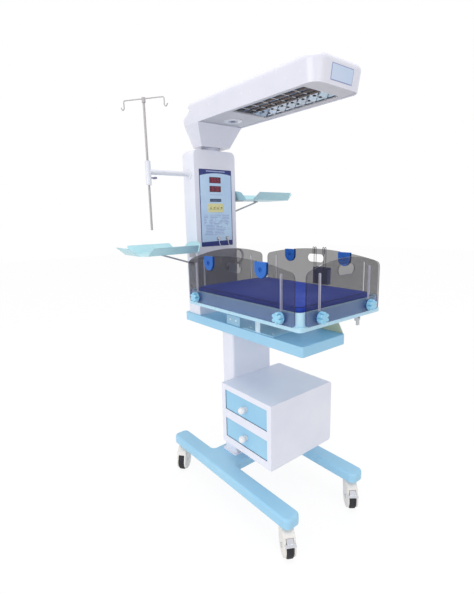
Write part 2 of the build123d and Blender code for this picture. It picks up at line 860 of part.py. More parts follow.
# Star knobs: a dark disc, a lobed grip and a stud through the panel into the wall
def star_knob():
    disc_top = sliding_gap + knob_disc_height
    disc = slab(Circle(knob_disc_radius), sliding_gap, disc_top)
    star = Circle(knob_body_radius)
    lobe_circle = knob_disc_radius - knob_lobe_radius
    for index in range(knob_lobe_count):
        angle = radians(360 * index / knob_lobe_count)
        star += Pos(lobe_circle * cos(angle), lobe_circle * sin(angle)) * Circle(knob_lobe_radius)
    grip = slab(star, disc_top, disc_top + knob_body_height)
    grip = fillet(grip.faces().sort_by(Axis.Z)[-1].edges(), knob_edge_round)
    grip += slab(Circle(knob_stud_radius), -stud_depth, disc_top)
    return disc - slab(Circle(knob_stud_radius), -stud_depth, disc_top), grip


knob_disc, knob_grip = star_knob()
for node, point, outward in knob_places:
    face_plane = Plane(origin=point, z_dir=outward)
    save(node, face_plane * knob_disc, face_plane * knob_grip)


# Column housing: a tall sheet box open at the back, with the head's swivel post on top
column_x = column_width / 2
column = block(both_sides(column_x), (column_front, column_back), (shelf_top, column_top))
top_edges = column.faces().sort_by(Axis.Z)[-1].edges().filter_by(Axis.Y)
column = fillet(top_edges, column_top_round)
hollow = block(
    both_sides(column_x - column_wall),
    (column_front + column_wall, column_back + cut_overrun),
    (shelf_top + column_wall, column_top - column_wall),
)
hollow_top = hollow.faces().sort_by(Axis.Z)[-1].edges().filter_by(Axis.Y)
column -= fillet(hollow_top, column_top_round - column_wall)
display_rises = (
    (upper_display_rise, display_height),
    (lower_display_rise, display_height),
    (bar_display_rise, bar_display_height),
)
display_x = (display_shift - display_width / 2, display_shift + display_width / 2)
window_x = (display_x[0] - display_gap, display_x[1] + display_gap)
for rise, height in display_rises:
    window_z = (overlay_low + rise - display_gap, overlay_low + rise + height + display_gap)
    window_y = (column_front - cut_overrun, column_front + column_wall + cut_overrun)
    column -= block(window_x, window_y, window_z)
bearing = Pos(0, swivel_y, 0) * slab(Circle(bearing_radius), column_top, neck_bottom - sliding_gap)
post = Pos(0, swivel_y, 0) * slab(Circle(post_radius), column_top, neck_bottom + post_length)
save("column_housing", column, bearing + post)

# Back cover with the mains inlet
cover_x = column_x - back_cover_margin
cover = block(
    both_sides(cover_x),
    (column_back, column_back + back_cover_thickness),
    (shelf_top + back_cover_margin, column_top - column_top_round),
)
inlet_low = shelf_top + inlet_rise
inlet_box = block(
    both_sides(inlet_width / 2),
    (column_back + back_cover_thickness - inlet_depth, column_back + back_cover_thickness),
    (inlet_low, inlet_low + inlet_height),
)
cover -= inlet_box
inlet_face = column_back + back_cover_thickness
recess_low = inlet_low + (inlet_height - inlet_recess_height) / 2
inlet_box -= block(
    both_sides(inlet_recess_width / 2),
    (inlet_face - inlet_recess_depth, inlet_face + cut_overrun),
    (recess_low, recess_low + inlet_recess_height),
)
save("column_back_cover", cover, inlet_box)

# Control overlay: a printed film with display windows and a raised keypad
film_y = (column_front - overlay_thickness, column_front)
film_outline = Pos(0, overlay_low + overlay_height / 2) * RectangleRounded(
    overlay_width, overlay_height, overlay_round
)
film = Pos(0, column_front, 0) * extrude(Plane.XZ * film_outline, overlay_thickness)
for rise, height in display_rises:
    window_z = (overlay_low + rise - display_gap, overlay_low + rise + height + display_gap)
    film -= block(window_x, (film_y[0] - cut_overrun, column_front), window_z)
keypad = block(
    (display_shift - keypad_width / 2, display_shift + keypad_width / 2),
    (film_y[0] - keypad_thickness, film_y[0]),
    (overlay_low + keypad_rise, overlay_low + keypad_rise + keypad_height),
)
save("control_overlay", film, keypad)

# Control board: display modules in the windows, on a board with four standoffs
board_front = column_front + column_wall + standoff_length
modules = []
for rise, height in display_rises:
    module_z = (overlay_low + rise, overlay_low + rise + height)
    modules.append(block(display_x, (film_y[0], board_front), module_z))
board_x = (display_x[0] - board_margin, display_x[1] + board_margin)
board_low = overlay_low + bar_display_rise - board_margin
board_z = (board_low, overlay_low + upper_display_rise + display_height + board_margin)
board = block(board_x, (board_front, board_front + board_thickness), board_z)
standoffs = []
for x in (board_x[0] + standoff_radius, board_x[1] - standoff_radius):
    for z in (board_z[0] + standoff_radius, board_z[1] - standoff_radius):
        standoffs.append(rod((x, column_front + column_wall, z), (x, board_front, z), standoff_radius))
save("control_board", board, *modules, *standoffs)


# Probe sockets with right angled plugs and strain reliefs
def socket_and_plug(x):
    film_face = film_y[0]
    ring_front = film_face - socket_height
    plug_front = ring_front - plug_length
    socket = rod((x, film_face, socket_height_z), (x, ring_front, socket_height_z), socket_radius)
    plug = rod((x, ring_front, socket_height_z), (x, plug_front, socket_height_z), plug_radius)
    relief_middle = Pos(x, cable_y, socket_height_z - relief_length / 2)
    relief = relief_middle * Cone(relief_low_radius, relief_top_radius, relief_length)
    plug_line = ((x, film_face, socket_height_z), (x, plug_front - cut_overrun, socket_height_z))
    relief -= rod(*plug_line, plug_radius)
    return socket, plug, relief


cable_y = film_y[0] - socket_height - plug_length / 2
relief_low = socket_height_z - relief_length
save("probe_sockets", *socket_and_plug(left_socket_place), *socket_and_plug(right_socket_place))


# Probe cables: free stretches of straight runs and arcs, and coils as one tube each
def corner_radii(points):
    radii = []
    for before, corner, after in zip(points, points[1:], points[2:]):
        arriving = Vector(*corner) - Vector(*before)
        leaving = Vector(*after) - Vector(*corner)
        turn = radians(arriving.get_angle(leaving))
        radii.append(cable_corner_share * min(arriving.length, leaving.length) / tan(turn / 2))
    return radii


def free_stretch(points):
    radii = corner_radii(points)
    route = FilletPolyline(*points, radius=radii)
    tube = sweep(Plane(origin=route @ 0, z_dir=route % 0) * Circle(cable_radius), path=route)
    expected = Circle(cable_radius).area * route.length
    print("cable length", round(route.length, 1), "volume share", round(tube.volume / expected, 4))
    print("corner radii", [round(radius, 1) for radius in radii])
    return tube


def biarc(start, start_way, end, end_way):
    chord = end - start
    ways = start_way + end_way
    across = 2 * (1 - start_way.dot(end_way))
    reach = (-chord.dot(ways) + (chord.dot(ways) ** 2 + across * chord.dot(chord)) ** 0.5) / across
    knee = (start + start_way * reach + end - end_way * reach) / 2
    first = Edge.make_tangent_arc(start, start_way, knee)
    second = Edge.make_tangent_arc(knee, first % 1, end)
    return [first, second]


def coil_point(centre, radius, growth, pitch, start_angle, turned):
    angle = radians(start_angle + 360 * turned)
    reach = radius + growth * turned
    return Vector(centre[0] + reach * cos(angle), cable_y - pitch * turned, centre[1] + reach * sin(angle))


def coil(centre, radius, growth, pitch, start_angle, turns):
    steps = max(round(4 * turns), 1)

    def at(turned):
        return coil_point(centre, radius, growth, pitch, start_angle, turned)

    def way(turned):
        return (at(turned + coil_nudge_share) - at(turned - coil_nudge_share)).normalized()

    stations = [turns * step / steps for step in range(steps + 1)]
    start, finish = at(0), at(turns)
    edges = [Edge.make_line(start - way(0) * cable_end_run, start)]
    for before, after in zip(stations, stations[1:]):
        edges += biarc(at(before), way(before), at(after), way(after))
    edges.append(Edge.make_line(finish, finish + way(turns) * cable_end_run))
    route = Wire(edges)
    entry = start - way(0) * cable_end_run
    tube = sweep(Plane(origin=entry, z_dir=way(0)) * Circle(cable_radius), path=route)
    samples = [at(turns * index / coil_sample_count) for index in range(coil_sample_count + 1)]
    half_turn = round(coil_sample_count / turns / 2)
    gaps = [
        (samples[i] - samples[j]).length - 2 * cable_radius
        for i in range(len(samples)) for j in range(i + half_turn, len(samples))
    ]
    print("coil length", round(route.length, 1), "least gap to itself", round(min(gaps), 2))
    exit_point = finish + way(turns) * cable_end_run
    return tube, entry, way(0), exit_point, way(turns)


def cable_route(socket_place, shares, approach, entry, way):
    first = Vector(socket_place, cable_y, relief_low)
    second = first - Vector(0, 0, cable_first_run)
    near = entry - way * approach
    bends = [
        (second.X + across * (near.X - second.X), cable_y, second.Z + down * (near.Z - second.Z))
        for across, down in shares
    ]
    return [tuple(first), tuple(second), *bends, tuple(near), tuple(entry)]


left_coil_centre = (left_coil_place, socket_height_z - left_coil_drop)
left_coil, left_entry, left_way, left_exit, left_exit_way = coil(
    left_coil_centre, left_coil_radius, left_coil_growth, left_coil_pitch, left_coil_start_angle,
    left_coil_turns,
)
right_coil_centre = (right_coil_place, socket_height_z - right_coil_drop)
right_coil, right_entry, right_way, right_exit, right_exit_way = coil(
    right_coil_centre, right_coil_radius, right_coil_growth, right_coil_pitch, right_coil_start_angle,
    right_coil_turns,
)
left_route = cable_route(left_socket_place, left_cable_shares, left_approach, left_entry, left_way)
right_route = cable_route(right_socket_place, right_cable_shares, right_approach, right_entry, right_way)
save("probe_cable_left", free_stretch(left_route))
save("probe_cable_right", free_stretch(right_route))
save("probe_coil_left", left_coil)
save("probe_coil_right", right_coil)


# Probe sensors: a white body at the end of each coil, with a thin dark tip
def sensor(entry, way, tip_way):
    body_end = entry + way * sensor_length
    tip_start = entry + way * (sensor_length / 4)
    body = rod(entry, body_end, sensor_radius)
    tip = rod(tip_start, tip_start + tip_way * sensor_tip_length, sensor_tip_radius) - body
    return body, tip


down = Vector(0, 0, -1)
save("probe_sensor_left", *sensor(left_exit, left_exit_way, down))
save("probe_sensor_right", *sensor(right_exit, right_exit_way, down))


# Neck: a flared hollow housing that turns on the swivel post
head_x = head_width / 2
draft_inset = head_height * tan(radians(head_draft))
neck_top_x = head_x - draft_inset
neck_low_x = neck_low_width / 2
crest_y = neck_back - neck_crest_setback
crest_z = head_bottom + neck_crest_height


def neck_shape(inset):
    side_view = make_face(Polyline(
        (neck_front, neck_bottom),
        (neck_back, neck_bottom),
        (neck_back, head_bottom + neck_shoulder_height),
        (crest_y, crest_z),
        (head_back_low, head_bottom),
        (neck_front - neck_front_flare, head_bottom),
        close=True,
    ))
    shoulder = side_view.vertices().filter_by(lambda v: v.X > crest_y).sort_by(Axis.Y)[-1]
    side_view = fillet(shoulder, neck_back_round)
    front_view = make_face(Polyline(
        (-neck_low_x, neck_bottom),
        (neck_low_x, neck_bottom),
        (neck_top_x, head_bottom),
        (head_x, head_top),
        (-head_x, head_top),
        (-neck_top_x, head_bottom),
        close=True,
    ))
    if inset:
        side_view = offset(side_view, -inset)
        front_view = offset(front_view, -inset)
    depth = extrude(Plane.YZ * side_view, head_x, both=True)
    return depth & extrude(Plane.XZ * front_view, beam_length, both=True)


neck = neck_shape(0)
upright_edges = [
    edge for edge in neck.edges().filter_by(GeomType.LINE)
    if abs(edge.center().X) > neck_low_x / 2 and abs(edge.tangent_at(0).Z) > upright_share
    and (edge.center().Z < head_bottom or edge.center().Y > neck_back - match_distance)
]
front_edges = [edge for edge in upright_edges if edge.center().Y < neck_front]
back_edges = [edge for edge in upright_edges if edge.center().Y > neck_back - match_distance]
neck = fillet(front_edges, neck_edge_round)
neck = fillet(back_edges, neck_back_round)
post_boss = Pos(0, swivel_y, 0) * slab(
    Circle(post_radius + neck_wall), neck_bottom, neck_bottom + post_length + sliding_gap
)
neck -= neck_shape(neck_wall) - post_boss
neck -= Pos(0, swivel_y, 0) * slab(
    Circle(post_radius + pin_gap), neck_bottom - cut_overrun, neck_bottom + post_length + sliding_gap
)
save("neck_housing", neck)


# Head cover: a long drafted shell with round front corners, open below
def head_shape(inset, low):
    widen = (low - head_bottom) * tan(radians(head_draft))
    half_x = neck_top_x - inset + widen
    front_y = head_front + draft_inset + inset - widen
    plan = Pos(0, (front_y + neck_back) / 2) * Rectangle(2 * half_x, neck_back - front_y)
    plan = fillet(plan.vertices().sort_by(Axis.Y)[:2], head_corner_round - inset)
    shell = Pos(0, 0, low) * extrude(plan, head_top - inset - low, taper=-head_draft)
    rim = shell.faces().sort_by(Axis.Z)[-1].edges().sort_by(Axis.Y)[:-1]
    shell = fillet(rim, head_top_round - inset)
    slope = (crest_y - head_back_low) / (crest_z - head_bottom)
    side_view = make_face(Polyline(
        (head_front - head_height, head_bottom - head_height),
        (head_back_low - slope * head_height, head_bottom - head_height),
        (crest_y, crest_z),
        (head_back_top, head_top),
        (head_front - head_height, head_top),
        close=True,
    ))
    if inset:
        side_view = offset(side_view, -inset, kind=Kind.INTERSECTION)
    return shell & extrude(Plane.YZ * side_view, head_width, both=True)


head = head_shape(0, head_bottom) - head_shape(head_wall, head_bottom - cut_overrun)
save("head_cover", head)

# Under panel: a recessed plate with the heater window and the lamp's hole
panel_low = head_bottom + under_panel_recess
panel_high = panel_low + under_panel_thickness
window_middle = window_front + window_length / 2
window = Pos(0, window_middle) * RectangleRounded(window_width, window_length, window_round)
under_panel = head_shape(head_wall + sliding_gap, head_bottom - cut_overrun)
under_panel &= block(both_sides(head_width), both_sides(beam_length), (panel_low, panel_high))
under_panel -= slab(window, panel_low - cut_overrun, panel_high + cut_overrun)
lamp_place = Pos(lamp_place_x, lamp_place_y, 0)
under_panel -= lamp_place * slab(
    Circle(lamp_body_radius + sliding_gap), panel_low - cut_overrun, panel_high + cut_overrun
)
save("head_under_panel", under_panel)

# Guard grille: a flat frame on the under panel with round cross bars
frame_top = panel_high + grille_frame_height
grille_overlap = grille_frame_width / 2
frame_outer = Rectangle(window_width + grille_frame_width, window_length + grille_frame_width)
frame_inner = Rectangle(window_width - grille_frame_width, window_length - grille_frame_width)
grille = Pos(0, window_middle, 0) * slab(frame_outer - frame_inner, panel_high, frame_top)
bar_x = window_width / 2
bar_z = (panel_high + frame_top) / 2
bar_count = int((window_length - grille_frame_width) / grille_bar_spacing)
bar_start = window_middle - grille_bar_spacing * (bar_count - 1) / 2
for index in range(bar_count):
    bar_y = bar_start + index * grille_bar_spacing
    grille += rod((-bar_x, bar_y, bar_z), (bar_x, bar_y, bar_z), grille_bar_radius)
save("guard_grille", grille)


# Reflector: a polished trough with drawn in sides above the grille
def trough(inset, low, high):
    low_width = window_width - 2 * inset
    high_width = low_width - 2 * reflector_draw_in
    length = window_length - 2 * inset
    layers = [
        Pos(0, window_middle, low) * Rectangle(low_width, length),
        Pos(0, window_middle, high) * Rectangle(high_width, length),
    ]
    return loft(layers, ruled=True)


reflector_low = frame_top
reflector_top = frame_top + reflector_height
reflector = trough(0, reflector_low, reflector_top)
reflector += Pos(0, window_middle, 0) * slab(
    Rectangle(window_width + reflector_flange, window_length + reflector_flange),
    reflector_low, reflector_low + reflector_wall,
)
reflector -= trough(reflector_wall, reflector_low, reflector_top - reflector_wall)
save("reflector", reflector)

# Heater rods: ceramic cased rods between the trough's end walls
rods = []
rod_front = window_front + reflector_wall
rod_back = window_front + window_length - reflector_wall
for index in range(rod_count):
    rod_x = rod_shift + rod_spacing * (index - (rod_count - 1) / 2)
    rod_z = reflector_low + rod_rise
    rods.append(rod((rod_x, rod_front, rod_z), (rod_x, rod_back, rod_z), rod_radius))
save("heater_rods", *rods)

# Exam lamp: a bezel under the panel, a body through its hole and a lens
bezel_low = panel_low - lamp_bezel_height
lamp = lamp_place * slab(Circle(lamp_bezel_radius), bezel_low, panel_low)
lamp += lamp_place * slab(Circle(lamp_body_radius), bezel_low, panel_low + lamp_body_height)
lens = lamp_place * slab(Circle(lamp_lens_radius), bezel_low, bezel_low + lamp_bezel_height / 2)
save("exam_lamp", lamp - lens, lens)


# Drip pole: an arm with its sleeve on the column, a sliding pole, a hook bar and a clamp screw
def iv_point(x, z):
    return (x, iv_arm_place, z)


arm_start = iv_point(-column_x, iv_arm_height)
arm_end = iv_point(iv_pole_place, iv_arm_height)
iv_arm = rod(arm_start, arm_end, iv_arm_radius)
iv_arm -= rod(arm_start, iv_point(iv_pole_place + sleeve_radius, iv_arm_height), iv_arm_radius - iv_arm_wall)
flange_end = iv_point(-column_x - iv_flange_height, iv_arm_height)
iv_flange = rod(arm_start, flange_end, iv_flange_radius)
iv_arm += iv_flange - rod(arm_start, flange_end, iv_arm_radius - iv_arm_wall)
sleeve_low_point = iv_point(iv_pole_place, iv_arm_height - sleeve_low)
sleeve_high_point = iv_point(iv_pole_place, iv_arm_height + sleeve_high)
iv_arm += rod(sleeve_low_point, sleeve_high_point, sleeve_radius)
iv_arm -= rod(sleeve_low_point, sleeve_high_point, iv_pole_radius + pin_gap)
clamp_z = iv_arm_height - clamp_drop
clamp_start = iv_point(iv_pole_place + iv_pole_radius + sliding_gap, clamp_z)
clamp_end = iv_point(iv_pole_place + sleeve_radius + clamp_screw_reach, clamp_z)
iv_arm -= rod(clamp_start, clamp_end, clamp_screw_radius + pin_gap)
save("iv_arm", iv_arm)

pole_low = iv_arm_height - iv_pole_low
pole_top = pole_low + iv_pole_length
save("iv_pole", rod(iv_point(iv_pole_place, pole_low), iv_point(iv_pole_place, pole_top), iv_pole_radius))

bar_height = pole_top + hook_boss_cap / 2
hook_end = hook_bar_half_length
hook_route = [
    (-hook_end - hook_throat, hook_lift - hook_drop),
    (-hook_end - hook_throat / 2, -hook_drop),
    (-hook_end, hook_bend - hook_drop),
    (-hook_end, 0),
    (hook_end, 0),
    (hook_end, hook_bend - hook_drop),
    (hook_end + hook_throat / 2, -hook_drop),
    (hook_end + hook_throat, hook_lift - hook_drop),
]
hook_points = [Vector(along, 0, rise) for along, rise in hook_route]
hook_radii = [
    min(hook_bend, radius) for radius in corner_radii([tuple(point) for point in hook_points])
]
hook_path = FilletPolyline(*hook_points, radius=hook_radii)
hook_bar = sweep(Plane(origin=hook_path @ 0, z_dir=hook_path % 0) * Circle(hook_bar_radius), path=hook_path)
hook_bar = Pos(iv_pole_place, iv_arm_place, bar_height) * Rot(0, 0, hook_bar_angle) * hook_bar
boss_top = pole_top + hook_boss_cap
hook_bar += rod(
    iv_point(iv_pole_place, boss_top - hook_boss_height), iv_point(iv_pole_place, boss_top), hook_boss_radius
)
hook_bar -= rod(
    iv_point(iv_pole_place, boss_top - hook_boss_height), iv_point(iv_pole_place, pole_top + sliding_gap),
    iv_pole_radius + pin_gap,
)
save("iv_hook_bar", hook_bar)

grip_x = (clamp_end[0], clamp_end[0] + clamp_grip_thickness)
clamp_grip = block(
    grip_x,
    (iv_arm_place - clamp_grip_length / 2, iv_arm_place + clamp_grip_length / 2),
    (clamp_z - clamp_grip_height / 2, clamp_z + clamp_grip_height / 2),
)
clamp_grip = fillet(clamp_grip.edges().filter_by(Axis.X), clamp_grip_height / 3)
save("iv_clamp_knob", clamp_grip + rod(clamp_start, clamp_end, clamp_screw_radius))


# Side trays: one bent sheet each, with four upturned petals and open corners
def petal(middle, outward, length, reach, rise, arch):
    slant = hypot(reach, rise)
    along = Vector(*outward).cross(Vector(0, 0, 1))
    up_way = Vector(*outward) * (reach / slant) + Vector(0, 0, rise / slant)
    fold = Plane(origin=middle, x_dir=along, z_dir=along.cross(up_way))
    half = length / 2
    top = half - petal_cut
    sides = Polyline((-top, slant), (-half, 0), (half, 0), (top, slant))
    if arch:
        edge = ThreePointArc((top, slant), (0, slant + arch_height), (-top, slant))
    else:
        edge = Line((top, slant), (-top, slant))
    return fold * extrude(make_face(sides + edge), tray_sheet)


def side_tray(floor_height):
    low = floor_height - tray_sheet
    middle_x = (tray_inner_x + tray_outer_x) / 2
    middle_y = (tray_front + tray_back) / 2
    floor = Pos(middle_x, middle_y) * Rectangle(tray_width, tray_depth)
    floor = chamfer(floor.vertices(), tray_corner_cut)
    tray = slab(floor, low, floor_height)
    fold_x = tray_depth - 2 * tray_corner_cut
    fold_y = tray_width - 2 * tray_corner_cut
    tray += petal((tray_outer_x, middle_y, low), (1, 0, 0), fold_x, tray_end_reach, tray_rise, False)
    tray += petal((tray_inner_x, middle_y, low), (-1, 0, 0), fold_x, inner_petal_reach, tray_rise, True)
    tray += petal((middle_x, tray_front, low), (0, -1, 0), fold_y, tray_side_reach, tray_rise, False)
    tray += petal((middle_x, tray_back, low), (0, 1, 0), fold_y, tray_side_reach, tray_rise, False)
    return tray


inner_petal_slant = hypot(tray_rise, tray_inner_gap)
inner_petal_share = inner_petal_slant / (inner_petal_slant + arch_height)
inner_petal_reach = (tray_inner_gap - 2 * sliding_gap) * inner_petal_share
save("tray_right", side_tray(right_tray_z))
save("tray_left", mirrored(side_tray(left_tray_z)))


# Tray brackets: an angle on the column's side and a thin stay up to the tray
def tray_bracket(floor_height):
    under = floor_height - tray_sheet
    near_y = iv_arm_place - ledge_depth / 2
    far_y = iv_arm_place + ledge_depth / 2
    angle = block((column_x, column_x + ledge_reach), (near_y, far_y), (under - ledge_thickness, under))
    angle += block((column_x, column_x + ledge_thickness), (near_y, far_y), (under - ledge_leg, under))
    low_point = (column_x + stay_foot / 2, iv_arm_place, under - stay_drop)
    high_point = (column_x + stay_reach, iv_arm_place, under - stay_foot / 2)
    half = stay_foot / 2
    y_span = (iv_arm_place - half, iv_arm_place + half)
    stay = rod(low_point, high_point, stay_radius)
    stay += block((column_x, column_x + half), y_span, (low_point[2] - half, low_point[2] + half))
    stay += block((high_point[0] - half, high_point[0] + half), y_span, (under - half, under))
    return angle, stay


right_supports = tray_bracket(right_tray_z)
left_supports = [mirrored(piece) for piece in tray_bracket(left_tray_z)]
save("tray_struts", *right_supports, *left_supports)
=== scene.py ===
from math import cos, pi, radians, sin

import bmesh
import bpy
from mathutils import Matrix, Vector
from mathutils.bvhtree import BVHTree


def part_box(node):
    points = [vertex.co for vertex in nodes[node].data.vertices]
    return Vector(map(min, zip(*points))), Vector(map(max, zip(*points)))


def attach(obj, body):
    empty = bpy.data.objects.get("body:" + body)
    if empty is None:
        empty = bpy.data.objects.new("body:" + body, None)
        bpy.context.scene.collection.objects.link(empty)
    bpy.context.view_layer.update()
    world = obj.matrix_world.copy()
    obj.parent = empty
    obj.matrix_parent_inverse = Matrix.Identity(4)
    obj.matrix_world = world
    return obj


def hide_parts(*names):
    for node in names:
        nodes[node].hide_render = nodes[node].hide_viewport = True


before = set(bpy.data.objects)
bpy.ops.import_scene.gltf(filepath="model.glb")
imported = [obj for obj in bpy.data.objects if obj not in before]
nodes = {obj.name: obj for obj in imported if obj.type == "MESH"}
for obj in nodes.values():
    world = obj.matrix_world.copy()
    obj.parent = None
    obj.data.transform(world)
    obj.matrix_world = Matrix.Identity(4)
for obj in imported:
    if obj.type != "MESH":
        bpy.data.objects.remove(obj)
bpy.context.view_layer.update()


# Camera, floor and lights
# The camera stands left of the crib's foot end at chest height, and the floor is a plain pale sheet.
# Even white light from all round is joined by broad soft lamps on the left, in front and overhead.
def placed(name, data):
    piece = bpy.data.objects.new(name, data)
    bpy.context.scene.collection.objects.link(piece)
    return piece


def aimed(name, data, place, x_axis, y_axis, forward):
    piece = placed(name, data)
    facing = Matrix((x_axis, y_axis, -forward)).transposed().to_4x4()
    piece.matrix_world = Matrix.Translation(place) @ facing
    return piece


camera_place = Vector((-1.1925, -1.3230, 1.3086))
camera_way = Vector((0.6225, 0.7577, -0.196)).normalized()
camera_roll = radians(-1.2)
camera_side = camera_way.cross(Vector((0, 0, 1))).normalized()
camera_up = camera_side.cross(camera_way)
lens = bpy.data.cameras.new("camera")
lens.lens = 24.12
lens.shift_x = -0.0114
lens.shift_y = 0.0005
camera = aimed(
    "camera", lens, camera_place,
    camera_side * cos(camera_roll) + camera_up * sin(camera_roll),
    camera_up * cos(camera_roll) - camera_side * sin(camera_roll),
    camera_way,
)
bpy.context.scene.camera = camera
bpy.context.scene.view_settings.view_transform = "Standard"


def soft_lamp(name, place, target, size, power):
    data = bpy.data.lights.new(name, "AREA")
    data.shape = "DISK"
    data.size = size
    data.energy = power
    way = (Vector(target) - Vector(place)).normalized()
    side = way.cross(Vector((0, 0, 1))).normalized()
    aimed(name, data, Vector(place), side, side.cross(way), way)


soft_lamp("key_lamp", (-6.2, -0.9, 1.3), (0, 0, 0.9), size=5.0, power=118)
soft_lamp("fill_lamp", (-0.6, -5.6, 2.0), (0, 0, 0.9), size=3.0, power=18)
soft_lamp("top_lamp", (-0.4, -0.6, 5.2), (0, 0.01, 0.9), size=4.0, power=85)


def add(tree, kind, settings=(), **sockets):
    made = tree.nodes.new("ShaderNode" + kind)
    for key, value in dict(settings).items():
        setattr(made, key, value)
    for key, value in sockets.items():
        socket = made.inputs[key.replace("_", " ")]
        if isinstance(value, bpy.types.NodeSocket):
            tree.links.new(value, socket)
        else:
            socket.default_value = value
    return made


def math(tree, operation, first, second=0.0, third=0.0):
    made = tree.nodes.new("ShaderNodeMath")
    made.operation = operation
    for socket, value in zip(made.inputs, (first, second, third)):
        if isinstance(value, bpy.types.NodeSocket):
            tree.links.new(value, socket)
        else:
            socket.default_value = value
    return made.outputs[0]


def bare_finish(name):
    finish = bpy.data.materials.new(name)
    finish.use_nodes = True
    tree = finish.node_tree
    return finish, tree, tree.nodes["Principled BSDF"]


def seen_directly(tree):
    path = tree.nodes.new("ShaderNodeLightPath")
    straight = math(tree, "MAXIMUM", path.outputs["Is Camera Ray"], path.outputs["Is Transmission Ray"])
    return math(tree, "MAXIMUM", straight, path.outputs["Is Glossy Ray"])


world = bpy.data.worlds.new("studio")
bpy.context.scene.world = world
world.use_nodes = True
tree = world.node_tree
background = tree.nodes["Background"]
background.inputs["Color"].default_value = (1, 1, 1, 1)
ambient_level = 0.67
level = math(tree, "MULTIPLY_ADD", seen_directly(tree), 1 - ambient_level, ambient_level)
tree.links.new(level, background.inputs["Strength"])

floor_mesh = bpy.data.meshes.new("floor")
floor_half = 14
floor_corners = [(-1, -1), (1, -1), (1, 1), (-1, 1)]
floor_mesh.from_pydata([(x * floor_half, y * floor_half, 0) for x, y in floor_corners], [], [(0, 1, 2, 3)])
floor = placed("floor", floor_mesh)
floor_finish, tree, matt = bare_finish("floor_finish")
matt.inputs["Base Color"].default_value = (0.86, 0.86, 0.86, 1)
matt.inputs["Roughness"].default_value = 0.9
floor_glow, glow_share = 1.04, 0.88
white = add(tree, "Emission", Color=(1, 1, 1, 1), Strength=floor_glow)
mixed = add(tree, "MixShader", Fac=math(tree, "MULTIPLY", seen_directly(tree), glow_share))
tree.links.new(matt.outputs[0], mixed.inputs[1])
tree.links.new(white.outputs[0], mixed.inputs[2])
tree.links.new(mixed.outputs[0], tree.nodes["Material Output"].inputs["Surface"])
floor_mesh.materials.append(floor_finish)


# Base frame
# Two long box beams and a cross beam of pressed steel, welded into an H and powder coated sky blue.
# The casters' stems push up into blocks at the beams' ends, and bolts hold the pedestal's foot flange.
def chip(code):
    parts = [int(code[i:i + 2], 16) / 255 for i in (0, 2, 4)]
    linear = [part / 12.92 if part <= 0.04045 else ((part + 0.055) / 1.055) ** 2.4 for part in parts]
    return (*linear, 1.0)


def shader_group(name, inputs, outputs):
    tree = bpy.data.node_groups.new(name, "ShaderNodeTree")
    for label, kind, value in inputs:
        socket = tree.interface.new_socket(label, in_out="INPUT", socket_type=kind)
        socket.default_value = value
    for label, kind in outputs:
        tree.interface.new_socket(label, in_out="OUTPUT", socket_type=kind)
    return tree, tree.nodes.new("NodeGroupInput"), tree.nodes.new("NodeGroupOutput")


def mixed_colour(tree, factor, first, second):
    made = tree.nodes.new("ShaderNodeMix")
    made.data_type = "RGBA"
    for socket, value in ((made.inputs[0], factor), (made.inputs[6], first), (made.inputs[7], second)):
        if isinstance(value, bpy.types.NodeSocket):
            tree.links.new(value, socket)
        else:
            socket.default_value = value
    return made.outputs[2]


def ranged(tree, value, low, high, to_low=0.0, to_high=1.0):
    made = tree.nodes.new("ShaderNodeMapRange")
    tree.links.new(value, made.inputs["Value"])
    for label, number in (("From Min", low), ("From Max", high), ("To Min", to_low), ("To Max", to_high)):
        made.inputs[label].default_value = number
    return made.outputs["Result"]


# Cloudy colour, uneven gloss, a fine surface grain and a painted highlight on the edges, for every coated or
# moulded skin
skin_group, given, made = shader_group(
    "coated_skin",
    [
        ("Color", "NodeSocketColor", (0.8, 0.8, 0.8, 1)),
        ("Cloud Color", "NodeSocketColor", (0.7, 0.7, 0.7, 1)),
        ("Edge Highlight Color", "NodeSocketColor", (0.9, 0.9, 0.9, 1)),
        ("Cloud Scale", "NodeSocketFloat", 4.0),
        ("Grain Scale", "NodeSocketFloat", 600.0),
        ("Roughness", "NodeSocketFloat", 0.4),
        ("Roughness Spread", "NodeSocketFloat", 0.1),
        ("Edge Radius", "NodeSocketFloat", 0.002),
        ("Edge Highlight Share", "NodeSocketFloat", 0.5),
    ],
    [
        ("Color", "NodeSocketColor"),
        ("Roughness", "NodeSocketFloat"),
        ("Height", "NodeSocketFloat"),
        ("Edge Normal", "NodeSocketVector"),
    ],
)
tree = skin_group
spot = add(tree, "TexCoord").outputs["Object"]
cloud = add(tree, "TexNoise", Vector=spot, Scale=given.outputs["Cloud Scale"], Detail=4.0).outputs["Fac"]
smear = add(tree, "TexNoise", Vector=spot, Scale=38.0, Detail=3.0).outputs["Fac"]
grain = add(tree, "TexNoise", Vector=spot, Scale=given.outputs["Grain Scale"], Detail=2.0).outputs["Fac"]
clouded = mixed_colour(
    tree, ranged(tree, cloud, 0.35, 0.7), given.outputs["Color"], given.outputs["Cloud Color"]
)
edge_normal = add(tree, "Bevel", {"samples": 4}, Radius=given.outputs["Edge Radius"]).outputs[0]
facing = tree.nodes.new("ShaderNodeVectorMath")
facing.operation = "DOT_PRODUCT"
tree.links.new(edge_normal, facing.inputs[0])
tree.links.new(tree.nodes.new("ShaderNodeNewGeometry").outputs["Normal"], facing.inputs[1])
# The paler colour mixed in where the bevel normal turns away at edges is a painted highlight.
edge = math(tree, "MULTIPLY", ranged(tree, facing.outputs["Value"], 0.97, 0.8), given.outputs["Edge Highlight Share"])
edge = math(tree, "MULTIPLY", edge, ranged(tree, smear, 0.3, 0.6, 0.3, 1.0))
tree.links.new(mixed_colour(tree, edge, clouded, given.outputs["Edge Highlight Color"]), made.inputs["Color"])
uneven = math(
    tree, "MULTIPLY_ADD", ranged(tree, smear, 0.3, 0.7, -0.5, 0.5), given.outputs["Roughness Spread"],
    given.outputs["Roughness"],
)
tree.links.new(uneven, made.inputs["Roughness"])
